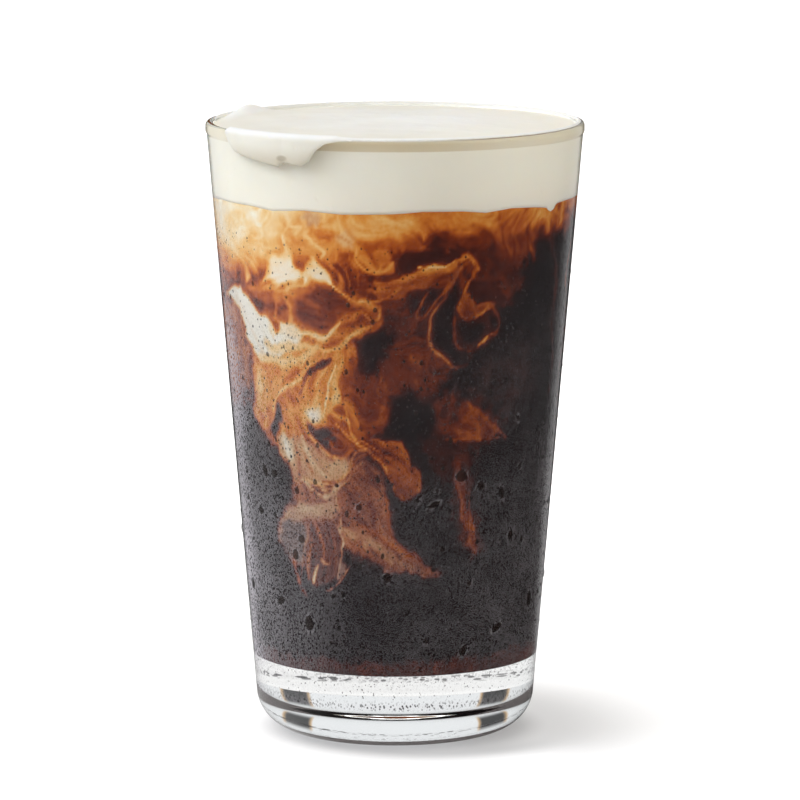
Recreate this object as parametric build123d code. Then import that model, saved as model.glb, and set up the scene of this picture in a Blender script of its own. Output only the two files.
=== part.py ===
"""Cold brew coffee in a tall tapered tumbler, capped with cold foam.

Lengths are millimetres. The glass stands on z = 0, its axis is the Z axis,
and the side over which the foam has run is turned towards -Y.
"""
import math
import os

from build123d import *

# Tumbler
glass_height = 140.0
rim_outer_radius = 43.1
rim_band_proud = 0.32
rim_band_height = 2.7
rim_wall = 2.0
wall_foot_radius = 31.2
foot_wall = 2.7
heel_radius = 9.0
floor_height = 17.3
floor_corner_radius = 4.0
foot_ring_width = 2.83
punt_depth = 1.4
punt_slope_width = 4.0

# Drink
foam_edge_drop = 0.7
foam_depth = 15.9
foam_dome = 0.9
layer_wave = 0.45

# Foam that has run over the rim: bearing from the front towards -X in
# degrees, how far it hangs below the rim, how far it stands off the wall
spill_stations = (
    (64.0, 0.5, -0.45),
    (60.0, 0.8, -0.1),
    (56.5, 2.3, 0.7),
    (51.0, 4.6, 1.1),
    (45.0, 5.6, 1.3),
    (39.0, 6.7, 1.5),
    (34.8, 4.9, 1.1),
    (29.0, 6.2, 1.3),
    (24.5, 3.6, 0.9),
    (20.5, 1.0, 0.2),
    (16.0, 0.5, -0.45),
)
spill_step = 2.0
spill_crest = 0.7
spill_root = 4.6
ridge_bearing = 124.0
ridge_inset = 3.8
ridge_length = 11.0
ridge_width = 4.6
ridge_height = 1.9

# Quantities that follow from the sizes above
rim_band_base = glass_height - rim_band_height
wall_top_radius = rim_outer_radius - rim_band_proud
foam_edge_height = glass_height - foam_edge_drop
layer_height = foam_edge_height - foam_depth
ridge_radius = rim_outer_radius - ridge_inset
wall_slope = (wall_top_radius - wall_foot_radius) / rim_band_base
wall_thinning = (foot_wall - rim_wall) / (rim_band_base - floor_height)


def wall_outer(height):
    """Outer radius of the straight wall at a height."""
    return wall_foot_radius + wall_slope * height


def wall_inner(height):
    """Inner radius of the straight wall at a height."""
    thickness = foot_wall - wall_thinning * (height - floor_height)
    return wall_outer(height) - thickness


def on_bearing(bearing):
    """Plane through the axis, its X outwards at a bearing and its Y up."""
    angle = math.radians(bearing)
    outwards = Vector(-math.sin(angle), -math.cos(angle), 0)
    sideways = outwards.cross(Vector(0, 0, 1))
    return Plane(origin=(0, 0, 0), x_dir=outwards, z_dir=sideways)


def heel_run():
    """Length cut from the foot plane and from the wall by the heel rounding."""
    corner = math.pi / 2 + math.atan(wall_slope)
    return heel_radius / math.tan(corner / 2)


def make_glass():
    """Tumbler with a thick clear foot, turned round its axis."""
    run = heel_run()
    lean = math.atan(wall_slope)
    foot = (wall_foot_radius - run, 0)
    ring_edge = (foot[0] - foot_ring_width, 0)
    punt_edge = (ring_edge[0] - punt_slope_width, punt_depth)
    heel_top = (wall_foot_radius + run * math.sin(lean), run * math.cos(lean))
    half = math.pi / 4 + lean / 2
    heel_mid = (
        foot[0] + heel_radius * math.sin(half),
        heel_radius - heel_radius * math.cos(half),
    )
    band_low = (wall_outer(rim_band_base), rim_band_base)
    band_out = (rim_outer_radius, rim_band_base + 0.5)
    band_up = (rim_outer_radius, glass_height - 1.0)
    crown_radius = rim_outer_radius - 1.05
    inner_lip = (wall_inner(glass_height) + 0.02, glass_height - 1.1)
    floor_edge = wall_inner(floor_height)
    with BuildPart() as body:
        with BuildSketch(Plane.XZ):
            with BuildLine():
                Line((0, punt_depth), punt_edge)
                Spline(
                    punt_edge,
                    (ring_edge[0] - 0.4 * punt_slope_width, 0.25 * punt_depth),
                    ring_edge,
                    tangents=[(1, 0), (1, 0)],
                )
                Line(ring_edge, foot)
                ThreePointArc(foot, heel_mid, heel_top)
                Line(heel_top, band_low)
                Line(band_low, band_out)
                Line(band_out, band_up)
                Spline(
                    band_up,
                    (crown_radius, glass_height),
                    inner_lip,
                    tangents=[(0, 1), (-wall_slope, -1)],
                )
                Line(inner_lip, (floor_edge, floor_height))
                Line((floor_edge, floor_height), (0, floor_height))
                Line((0, floor_height), (0, punt_depth))
            make_face()
        revolve(axis=Axis.Z)
        corner = body.edges().filter_by(GeomType.CIRCLE)
        corner = corner.filter_by(lambda e: abs(e.center().Z - floor_height) < 0.01)
        fillet(corner.sort_by(SortBy.RADIUS)[-1], floor_corner_radius)
    return body.part


def layer_level(x, y):
    """Height of the meeting of coffee and foam, a little uneven at the wall."""
    reach = math.hypot(x, y) / wall_inner(layer_height)
    turn = math.atan2(y, x)
    sway = math.cos(turn + 0.4) + 0.8 * math.cos(3 * turn + 1.1) + 0.6 * math.cos(5 * turn)
    return layer_height + layer_wave * reach * reach * sway


def make_layer():
    """Surface that parts the coffee from the foam."""
    span = rim_outer_radius + 3
    count = 22
    steps = [-span + 2 * span * i / count for i in range(count + 1)]
    points = [[(x, y, layer_level(x, y)) for x in steps] for y in steps]
    return Face.make_surface_from_array_of_points(points, tol=0.02)


def make_filling():
    """Everything inside the tumbler, coffee and foam together."""
    over = 0.9
    with BuildPart() as body:
        with BuildSketch(Plane.XZ):
            with BuildLine():
                Line((0, floor_height - 1), (wall_inner(floor_height) + over, floor_height - 1))
                Line(
                    (wall_inner(floor_height) + over, floor_height - 1),
                    (wall_inner(foam_edge_height) + over, foam_edge_height - 0.1),
                )
                Spline(
                    (wall_inner(foam_edge_height) + over, foam_edge_height - 0.1),
                    (wall_inner(foam_edge_height) * 0.7, foam_edge_height + foam_dome * 0.55),
                    (0, foam_edge_height + foam_dome),
                    tangents=[(-1, 0.06), (-1, 0)],
                )
                Line((0, foam_edge_height + foam_dome), (0, floor_height - 1))
            make_face()
        revolve(axis=Axis.Z)
    return body.part


def spill_size(bearing):
    """Hang and stand-off of the foam lip at a bearing, eased between stations."""
    for near, far in zip(spill_stations, spill_stations[1:]):
        if near[0] >= bearing >= far[0]:
            share = (near[0] - bearing) / (near[0] - far[0])
            ease = share * share * (3 - 2 * share)
            hang = near[1] + (far[1] - near[1]) * ease
            stand = near[2] + (far[2] - near[2]) * ease
            return hang, stand
    return spill_stations[-1][1:]


def spill_section(bearing):
    """Closed outline of the foam lip in the plane of one bearing."""
    hang, stand = spill_size(bearing)
    wall = rim_outer_radius
    crest = spill_crest * min(1.0, hang / 2.5)
    low = glass_height - hang
    root_top = (wall - spill_root, foam_edge_height - 0.25)
    root_low = (wall - spill_root, foam_edge_height - 2.6)
    over = (
        root_top,
        (wall - 2.0, foam_edge_height + 0.2 + crest),
        (wall - 0.35 + 0.75 * stand, glass_height - 0.45 + 0.7 * crest),
        (wall + stand, glass_height - 0.55 - 0.5 * hang),
        (wall - 0.75, low - 0.35),
    )
    with BuildSketch(on_bearing(bearing)) as section:
        with BuildLine():
            Spline(*over)
            Line(over[-1], root_low)
            Line(root_low, root_top)
        make_face()
    return section.sketch.faces()[0]


def make_spill():
    """Lip of foam lying over the rim and down the outside."""
    first = spill_stations[0][0]
    last = spill_stations[-1][0]
    count = round((first - last) / spill_step)
    turn = [first + (last - first) * i / count for i in range(count + 1)]
    return loft([spill_section(bearing) for bearing in turn])


def make_ridge():
    """Low ridge of foam left standing near the rim."""
    angle = math.radians(ridge_bearing)
    place = Location(
        (-ridge_radius * math.sin(angle), -ridge_radius * math.cos(angle), foam_edge_height),
        (0, 0, -ridge_bearing),
    )
    ball = Sphere(0.5)
    lump = scale(ball, by=(ridge_length, ridge_width, 2 * ridge_height))
    return place * lump


def one_solid(shape):
    """The largest solid of a shape."""
    pieces = shape if isinstance(shape, (list, ShapeList)) else [shape]
    solids = [solid for piece in pieces for solid in piece.solids()]
    return max(solids, key=lambda solid: solid.volume)


glass = make_glass()
contents = one_solid(make_filling() + make_spill() + make_ridge() - glass)
halves = [one_solid(contents.split(make_layer(), keep=side)) for side in (Keep.TOP, Keep.BOTTOM)]
coffee, foam = sorted(halves, key=lambda solid: solid.center().Z)

os.makedirs("parts", exist_ok=True)
for name, solid in (("glass", glass), ("coffee", coffee), ("foam", foam)):
    export_step(solid, f"parts/{name}.step")
    print(name, round(solid.volume, 1))
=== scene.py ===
"""Cold brew coffee in a tall tumbler: glass, marbled coffee, cold foam, mist and beads of condensation."""

import math
import random

import bpy
import numpy as np
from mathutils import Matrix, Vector, noise


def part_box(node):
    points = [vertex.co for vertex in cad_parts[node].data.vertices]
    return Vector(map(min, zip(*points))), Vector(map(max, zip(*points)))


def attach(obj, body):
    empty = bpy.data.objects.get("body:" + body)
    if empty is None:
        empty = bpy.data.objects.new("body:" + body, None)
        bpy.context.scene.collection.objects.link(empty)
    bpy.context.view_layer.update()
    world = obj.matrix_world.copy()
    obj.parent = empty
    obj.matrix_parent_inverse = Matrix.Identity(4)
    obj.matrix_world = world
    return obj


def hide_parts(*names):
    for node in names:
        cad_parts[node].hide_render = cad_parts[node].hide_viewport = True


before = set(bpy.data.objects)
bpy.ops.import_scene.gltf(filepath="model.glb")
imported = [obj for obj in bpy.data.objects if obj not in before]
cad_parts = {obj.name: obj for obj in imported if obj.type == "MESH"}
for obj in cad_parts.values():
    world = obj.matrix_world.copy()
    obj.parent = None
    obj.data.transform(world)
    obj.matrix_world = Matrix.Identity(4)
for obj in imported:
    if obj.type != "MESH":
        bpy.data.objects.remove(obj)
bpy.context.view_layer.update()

bl_info = {
    "name": "Cold Brew Coffee",
    "version": (1, 0, 0),
    "blender": (4, 5, 0),
    "location": "View3D > Sidebar > Cold brew",
    "description": "Models a tumbler of marbled cold brew coffee under cold foam",
    "category": "Object",
}

MM = 0.001
GLASS_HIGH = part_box("glass")[1]
COFFEE_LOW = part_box("coffee")[0]


# --- sizes and colours a user would change ---------------------------------


class ColdBrewTumbler(bpy.types.PropertyGroup):
    height: bpy.props.FloatProperty(
        name="Height", description="Height of the rim", default=GLASS_HIGH[2], unit="LENGTH"
    )
    rim_radius: bpy.props.FloatProperty(
        name="Rim radius", description="Outside of the rim band", default=GLASS_HIGH[0], unit="LENGTH"
    )
    band_proud: bpy.props.FloatProperty(
        name="Band stands proud", description="Rim band beyond the wall", default=0.32 * MM, unit="LENGTH"
    )
    band_height: bpy.props.FloatProperty(
        name="Band height", description="Height of the rim band", default=2.7 * MM, unit="LENGTH"
    )
    rim_wall: bpy.props.FloatProperty(
        name="Wall at the rim", description="Wall thickness at the rim", default=2.0 * MM, unit="LENGTH"
    )
    foot_radius: bpy.props.FloatProperty(
        name="Foot radius", description="Wall's outside at the table", default=31.2 * MM, unit="LENGTH"
    )
    foot_wall: bpy.props.FloatProperty(
        name="Wall at the floor", description="Thickness at the inside floor", default=2.7 * MM, unit="LENGTH"
    )
    heel_radius: bpy.props.FloatProperty(
        name="Heel radius", description="Rounding round the foot", default=9.0 * MM, unit="LENGTH"
    )
    floor_height: bpy.props.FloatProperty(
        name="Floor height", description="Inside floor", default=COFFEE_LOW[2], unit="LENGTH"
    )
    corner_radius: bpy.props.FloatProperty(
        name="Floor corner", description="Rounding round the inside floor", default=4.0 * MM, unit="LENGTH"
    )
    ring_width: bpy.props.FloatProperty(
        name="Foot ring", description="Flat ring that the glass stands on", default=2.83 * MM, unit="LENGTH"
    )
    punt_depth: bpy.props.FloatProperty(
        name="Recess depth", description="Hollow under the foot", default=1.4 * MM, unit="LENGTH"
    )
    punt_slope: bpy.props.FloatProperty(
        name="Recess slope", description="Width of the recess's slope", default=4.0 * MM, unit="LENGTH"
    )
    tint: bpy.props.FloatVectorProperty(
        name="Glass tint", description="Colour of the glass", default=(0.975, 0.988, 0.985), subtype="COLOR"
    )


class ColdBrewDrink(bpy.types.PropertyGroup):
    into_wall: bpy.props.FloatProperty(
        name="Reach into wall", description="Drink's reach into the glass", default=0.12 * MM, unit="LENGTH"
    )
    layer_height: bpy.props.FloatProperty(
        name="Layer height", description="Where coffee and foam meet", default=123.4 * MM, unit="LENGTH"
    )
    layer_wave: bpy.props.FloatProperty(
        name="Layer wave", description="Unevenness of that meeting", default=0.45 * MM, unit="LENGTH"
    )
    edge_height: bpy.props.FloatProperty(
        name="Foam edge", description="Height of the foam at the rim", default=139.3 * MM, unit="LENGTH"
    )
    dome: bpy.props.FloatProperty(
        name="Foam dome", description="Rise of the foam at its middle", default=0.8 * MM, unit="LENGTH"
    )


class ColdBrewCondensation(bpy.types.PropertyGroup):
    fine_count: bpy.props.IntProperty(
        name="Fine beads", description="Number of fine beads", default=8500, min=0
    )
    bead_count: bpy.props.IntProperty(
        name="Beads", description="Number of larger beads", default=700, min=0
    )
    seed: bpy.props.IntProperty(name="Seed", description="Scatter of the beads", default=7)


class ColdBrewStage(bpy.types.PropertyGroup):
    camera_distance: bpy.props.FloatProperty(
        name="Camera distance", description="Camera from the glass's axis", default=1.2083, unit="LENGTH"
    )
    camera_height: bpy.props.FloatProperty(
        name="Camera height", description="Camera above the table", default=0.26496, unit="LENGTH"
    )
    camera_tilt: bpy.props.FloatProperty(
        name="Camera tilt", description="Camera's dip", default=math.radians(8.904), subtype="ANGLE"
    )
    lens: bpy.props.FloatProperty(
        name="Lens", description="Focal length in millimetres", default=240.07
    )


GROUPS = {
    "cold_brew_tumbler": ColdBrewTumbler,
    "cold_brew_drink": ColdBrewDrink,
    "cold_brew_condensation": ColdBrewCondensation,
    "cold_brew_stage": ColdBrewStage,
}


# --- shader maths ----------------------------------------------------------


class Wire:
    """A shader socket that takes part in Python expressions."""

    def __init__(self, book, socket):
        self.book = book
        self.socket = socket

    def _maths(self, operation, *values):
        node = self.book.add("ShaderNodeMath", {"operation": operation}, dict(enumerate(values)))
        return self.book.wire(node, 0)

    def __add__(self, other):
        return self._maths("ADD", self, other)

    __radd__ = __add__

    def __sub__(self, other):
        return self._maths("SUBTRACT", self, other)

    def __rsub__(self, other):
        return self._maths("SUBTRACT", other, self)

    def __mul__(self, other):
        return self._maths("MULTIPLY", self, other)

    __rmul__ = __mul__

    def __truediv__(self, other):
        return self._maths("DIVIDE", self, other)

    def __pow__(self, other):
        return self._maths("POWER", self, other)

    def clamp(self):
        return self.book.add_wire("ShaderNodeClamp", {}, {"Value": self})

    def step(self, low, high):
        """Eases from 0 at low to 1 at high."""
        return self.book.add_wire(
            "ShaderNodeMapRange",
            {"interpolation_type": "SMOOTHSTEP"},
            {"Value": self, "From Min": low, "From Max": high},
        )


class NodeBook:
    """Builds one node tree."""

    def __init__(self, tree):
        self.tree = tree
        tree.nodes.clear()

    def wire(self, node, output=0):
        return Wire(self, node.outputs[output])

    def add(self, kind, settings=None, inputs=None):
        node = self.tree.nodes.new(kind)
        for name, value in (settings or {}).items():
            if name == "stops":
                ramp = node.color_ramp
                while len(ramp.elements) < len(value):
                    ramp.elements.new(1.0)
                for element, (place, colour) in zip(ramp.elements, value):
                    element.position = place
                for element, (place, colour) in zip(ramp.elements, value):
                    element.color = (*colour, 1.0)
            else:
                setattr(node, name, value)
        for name, value in (inputs or {}).items():
            socket = node.inputs[name]
            if isinstance(value, Wire):
                self.tree.links.new(value.socket, socket)
                continue
            colour = hasattr(socket.default_value, "__len__") and len(socket.default_value) == 4
            socket.default_value = (*value, 1.0) if colour and len(value) == 3 else value
        return node

    def add_wire(self, kind, settings=None, inputs=None, output=0):
        return self.wire(self.add(kind, settings, inputs), output)

    def noise(self, vector, scale, detail=2.0, roughness=0.5, distortion=0.0):
        kind = {"Scale": scale, "Detail": detail, "Roughness": roughness, "Distortion": distortion}
        return self.add_wire("ShaderNodeTexNoise", {}, {"Vector": vector, **kind})

    def cells(self, vector, scale):
        """Distance from the nearest of many scattered points."""
        return self.add_wire(
            "ShaderNodeTexVoronoi", {"feature": "F1"}, {"Vector": vector, "Scale": scale, "Randomness": 1.0}
        )

    def glow(self, kind, colour, strength):
        return self.add_wire(kind, {}, {"Color": colour, "Strength": strength})

    def blend(self, share, first, second):
        """One shader giving way to another."""
        return self.add_wire("ShaderNodeMixShader", {}, {0: share, 1: first, 2: second})

    def stretch(self, vector, scale):
        return self.add_wire("ShaderNodeMapping", {}, {"Vector": vector, "Scale": scale})

    def mix(self, share, first, second):
        return self.add_wire(
            "ShaderNodeMix", {"data_type": "RGBA"}, {"Factor": share, 6: first, 7: second}, 2
        )

    def place(self):
        return self.add_wire("ShaderNodeTexCoord", {}, {}, 3)

    def attribute(self, name):
        return self.add_wire("ShaderNodeAttribute", {"attribute_name": name}, {}, "Fac")

    def larger(self, first, second):
        return self.add_wire("ShaderNodeMath", {"operation": "MAXIMUM"}, {0: first, 1: second})

    def size(self, value):
        return self.add_wire("ShaderNodeMath", {"operation": "ABSOLUTE"}, {0: value})

    def axes(self, vector):
        """The three parts of a vector."""
        parts = self.add("ShaderNodeSeparateXYZ", {}, {"Vector": vector})
        return [self.wire(parts, k) for k in range(3)]

    def surface(self, shader, output="ShaderNodeOutputMaterial"):
        self.add(output, {}, {"Surface": shader})


def srgb(red, green, blue):
    """Linear colour of a colour given in 0 to 255 steps."""
    parts = [v / 255 for v in (red, green, blue)]
    return tuple(p / 12.92 if p <= 0.04045 else ((p + 0.055) / 1.055) ** 2.4 for p in parts)


def new_material(name):
    material = bpy.data.materials.new(name)
    material.use_nodes = True
    return material, NodeBook(material.node_tree)


def glass_shader(book, colour, ior):
    """Clear glass that lets lamps through to what is inside."""
    body = book.add_wire(
        "ShaderNodeBsdfPrincipled",
        {},
        {"Base Color": colour, "Roughness": 0.0, "IOR": ior, "Transmission Weight": 1.0},
    )
    through = book.add_wire("ShaderNodeBsdfTransparent", {}, {"Color": colour})
    shadow = book.add_wire("ShaderNodeLightPath", {}, {}, 1)
    book.surface(book.blend(shadow, body, through))


# --- modelling helpers -----------------------------------------------------


def clear_selection():
    if bpy.context.object and bpy.context.object.mode != "OBJECT":
        bpy.ops.object.mode_set(mode="OBJECT")
    bpy.ops.object.select_all(action="DESELECT")


def pick(piece):
    """Selects one piece alone."""
    clear_selection()
    piece.select_set(True)
    bpy.context.view_layer.objects.active = piece


def lathe(name, rings, steps, close_first=True, close_last=True):
    """Draws a circle and extrudes it from ring to ring, each a radius and a height."""
    clear_selection()
    radius, height = rings[0]
    bpy.ops.mesh.primitive_circle_add(vertices=steps, radius=radius, location=(0, 0, height))
    piece = bpy.context.object
    piece.name = name
    piece.data.name = name
    bpy.ops.object.transform_apply(location=True, rotation=True, scale=True)
    bpy.ops.object.mode_set(mode="EDIT")
    bpy.ops.mesh.select_all(action="SELECT")
    if close_first:
        bpy.ops.mesh.edge_face_add()
        bpy.ops.mesh.select_all(action="SELECT")
        bpy.ops.mesh.select_mode(type="EDGE")
    for radius_next, height_next in rings[1:]:
        bpy.ops.mesh.extrude_edges_move(TRANSFORM_OT_translate={"value": (0, 0, height_next - height)})
        bpy.ops.transform.resize(
            value=(radius_next / radius, radius_next / radius, 1), center_override=(0, 0, height_next)
        )
        radius, height = radius_next, height_next
    if close_last:
        bpy.ops.mesh.edge_face_add()
    bpy.ops.mesh.select_all(action="SELECT")
    bpy.ops.mesh.normals_make_consistent(inside=False)
    bpy.ops.object.mode_set(mode="OBJECT")
    return piece


def vertices_of(piece):
    co = np.empty(len(piece.data.vertices) * 3)
    piece.data.vertices.foreach_get("co", co)
    return co.reshape(-1, 3)


def move_vertices(piece, co):
    piece.data.vertices.foreach_set("co", co.ravel())
    piece.data.update()


def bearing_of(co):
    """Angle round the axis from the front, to the right."""
    return np.arctan2(co[:, 0], -co[:, 1])


def write_attribute(piece, name, values):
    layer = piece.data.attributes.new(name, "FLOAT", "POINT")
    layer.data.foreach_set("value", values.astype(np.float32))


def bevel_ring(piece, radius, height, offset, segments, slack=0.05 * MM):
    """Rounds the ring of edges at a radius and height."""
    pick(piece)
    bpy.ops.object.mode_set(mode="EDIT")
    bpy.ops.mesh.select_mode(type="VERT")
    bpy.ops.mesh.select_all(action="DESELECT")
    bpy.ops.object.mode_set(mode="OBJECT")
    near = [
        abs(v.co.z - height) < slack and abs(math.hypot(v.co.x, v.co.y) - radius) < slack
        for v in piece.data.vertices
    ]
    for edge in piece.data.edges:
        edge.select = near[edge.vertices[0]] and near[edge.vertices[1]]
    if not any(near):
        raise RuntimeError("no ring at %.4f, %.4f on %s" % (radius, height, piece.name))
    bpy.ops.object.mode_set(mode="EDIT")
    bpy.ops.mesh.select_mode(type="EDGE")
    bpy.ops.mesh.bevel(offset=offset, offset_type="OFFSET", segments=segments, profile=0.5, affect="EDGES")
    bpy.ops.mesh.select_all(action="DESELECT")
    bpy.ops.object.mode_set(mode="OBJECT")


def finish_piece(piece, node, material, angle=None):
    """Shades, paints and registers a piece that stands for a node."""
    pick(piece)
    if angle is None:
        bpy.ops.object.shade_smooth()
    else:
        bpy.ops.object.shade_smooth_by_angle(angle=angle)
    piece.data.materials.clear()
    piece.data.materials.append(material)
    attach(piece, "root")
    if node:
        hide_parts(node)
    clear_selection()


# --- the tumbler's shape, shared by every piece on or in it ------------------


def wall_outer(height):
    """Outer radius of the wall at a height."""
    t = bpy.context.scene.cold_brew_tumbler
    top = t.rim_radius - t.band_proud
    return t.foot_radius + (top - t.foot_radius) * height / (t.height - t.band_height)


def wall_inner(height):
    """Inner radius of the wall at a height."""
    t = bpy.context.scene.cold_brew_tumbler
    share = (height - t.floor_height) / (t.height - t.band_height - t.floor_height)
    return wall_outer(height) - (t.foot_wall + (t.rim_wall - t.foot_wall) * share)


LAYER = (  # bearing, and how far the foam's lower edge swings from its mean height there
    (-180, 0.3), (-150, -0.4), (-120, 0.3), (-92, -0.6), (-72, 0.2), (-52, 0.2), (-42, -0.4), (-30, 0.3),
    (-17, -0.2), (0, 0.1), (9, 0.6), (22, 0.4), (30, -0.2), (40, 0.4), (50, 0.0), (55, -0.4), (56.6, -0.6),
    (57.8, -1.6), (59.2, -2.1), (60.4, -1.7), (61.6, -0.4), (63, 0.1), (70, 0.3), (80, 0.3), (110, -0.4),
    (145, 0.4), (180, 0.3),
)


def layer_level(bearing):
    """Height at the wall where coffee and foam meet, at a bearing from the front."""
    d = bpy.context.scene.cold_brew_drink
    degrees = (math.degrees(bearing) + 180) % 360 - 180
    swing = float(np.interp(degrees, [p[0] for p in LAYER], [p[1] for p in LAYER]))
    return d.layer_height + d.layer_wave * swing / 0.45


class COLDBREW_OT_glass(bpy.types.Operator):
    """Model the tumbler with its thick clear foot"""

    bl_idname = "coldbrew.glass"
    bl_label = "Make the tumbler"

    def execute(self, context):
        t = context.scene.cold_brew_tumbler
        lean = math.atan2(wall_outer(t.height) - wall_outer(0), t.height)
        run = t.heel_radius / math.tan(math.pi / 4 + lean / 2)
        ring_outer = t.foot_radius - run
        ring_inner = ring_outer - t.ring_width
        punt_edge = ring_inner - t.punt_slope
        band_base = t.height - t.band_height
        inner_top = wall_inner(t.height) + 0.02 * MM
        floor_edge = wall_inner(t.floor_height)
        rings = [
            (punt_edge, t.punt_depth),
            (ring_inner - 0.62 * t.punt_slope, 0.8 * t.punt_depth),
            (ring_inner - 0.4 * t.punt_slope, 0.25 * t.punt_depth),
            (ring_inner, 0.0),
            (t.foot_radius, 0.0),
            (wall_outer(band_base), band_base),
            (t.rim_radius, band_base + 0.5 * MM),
            (t.rim_radius, t.height),
            (inner_top, t.height),
            (floor_edge, t.floor_height),
            (floor_edge - 8 * MM, t.floor_height),
        ]
        piece = lathe("tumbler", rings, 288)
        bevel_ring(piece, t.foot_radius, 0.0, run, 26)
        bevel_ring(piece, floor_edge, t.floor_height, t.corner_radius * 0.92, 14)
        bevel_ring(piece, t.rim_radius, t.height, 0.85 * MM, 10)
        bevel_ring(piece, inner_top, t.height, 0.85 * MM, 10)
        bevel_ring(piece, ring_inner, 0.0, 0.9 * MM, 6)
        bevel_ring(piece, punt_edge, t.punt_depth, 0.8 * MM, 6)
        bevel_ring(piece, t.rim_radius, band_base + 0.5 * MM, 0.25 * MM, 4)
        bevel_ring(piece, wall_outer(band_base), band_base, 0.3 * MM, 4)
        material, book = new_material("tumbler_glass")
        glass_shader(book, tuple(t.tint), 1.5)
        finish_piece(piece, "glass", material)
        return {"FINISHED"}


# --- marbling --------------------------------------------------------------

DEGREE = 0.68  # millimetres along the wall to one degree of bearing
FIELD_COLUMNS, FIELD_ROWS = 1200, 340  # cells of cream worked out round the coffee and up it
FIELD_LOW, FIELD_SPAN = 14, 112  # millimetres up the glass that the cells cover
CELL_ACROSS = 360 / FIELD_COLUMNS * DEGREE
CELL_UP = FIELD_SPAN / FIELD_ROWS
AWAY = 300  # millimetres that set one noise apart from another
EDDIES = ((8.5, 0.75, 1.6), (3.8, 0.4, 1.2), (1.9, 0.16, 1.0))  # size, reach and how much more in the cloud


def smooth(values):
    """Eases 0 to 1 values."""
    values = np.clip(values, 0, 1)
    return values * values * (3 - 2 * values)


def soft_noise(across, up, size, seed):
    """Smooth noise from -1 to 1 over two arrays of millimetres."""
    state = np.random.RandomState(seed)
    table = state.uniform(-1, 1, (64, 64))
    u, v = across / size, up / size
    iu, iv = np.floor(u).astype(int), np.floor(v).astype(int)
    fu, fv = smooth(u - iu), smooth(v - iv)
    a, b = table[iv % 64, iu % 64], table[iv % 64, (iu + 1) % 64]
    c, d = table[(iv + 1) % 64, iu % 64], table[(iv + 1) % 64, (iu + 1) % 64]
    return (a + (b - a) * fu) * (1 - fv) + (c + (d - c) * fu) * fv


def curl(across, up, size, seed):
    """A swirling push with no sources, as stirred liquid has."""
    step = size * 0.05
    du = soft_noise(across, up + step, size, seed) - soft_noise(across, up - step, size, seed)
    dv = soft_noise(across - step, up, size, seed) - soft_noise(across + step, up, size, seed)
    return du * size / (2 * step) * 0.5, dv * size / (2 * step) * 0.5


def blur(field, across, up):
    """Spreads a field by so many cells each way."""
    for axis, size in ((1, across), (0, up)):
        reach = int(size * 2.5) + 1
        weights = np.exp(-0.5 * (np.arange(-reach, reach + 1) / size) ** 2)
        weights /= weights.sum()
        pad = [(0, 0), (0, 0)]
        pad[axis] = (reach, reach)
        wide = np.pad(field, pad, mode="edge")
        field = sum(
            w * (wide[k : k + field.shape[0]] if axis == 0 else wide[:, k : k + field.shape[1]])
            for k, w in enumerate(weights)
        )
    return field


def rounded_path(points, steps=7):
    """Points along a smooth line through the given ones."""
    points = np.array(points, dtype=float)
    ends = np.vstack([2 * points[0] - points[1], points, 2 * points[-1] - points[-2]])
    out = []
    for i in range(len(points) - 1):
        p0, p1, p2, p3 = ends[i : i + 4]
        for k in range(steps):
            t = k / steps
            out.append(
                0.5 * (2 * p1 + (p2 - p0) * t + (2 * p0 - 5 * p1 + 4 * p2 - p3) * t * t
                       + (3 * p1 - p0 - 3 * p2 + p3) * t ** 3)
            )
    out.append(points[-1])
    return np.array(out)


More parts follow.
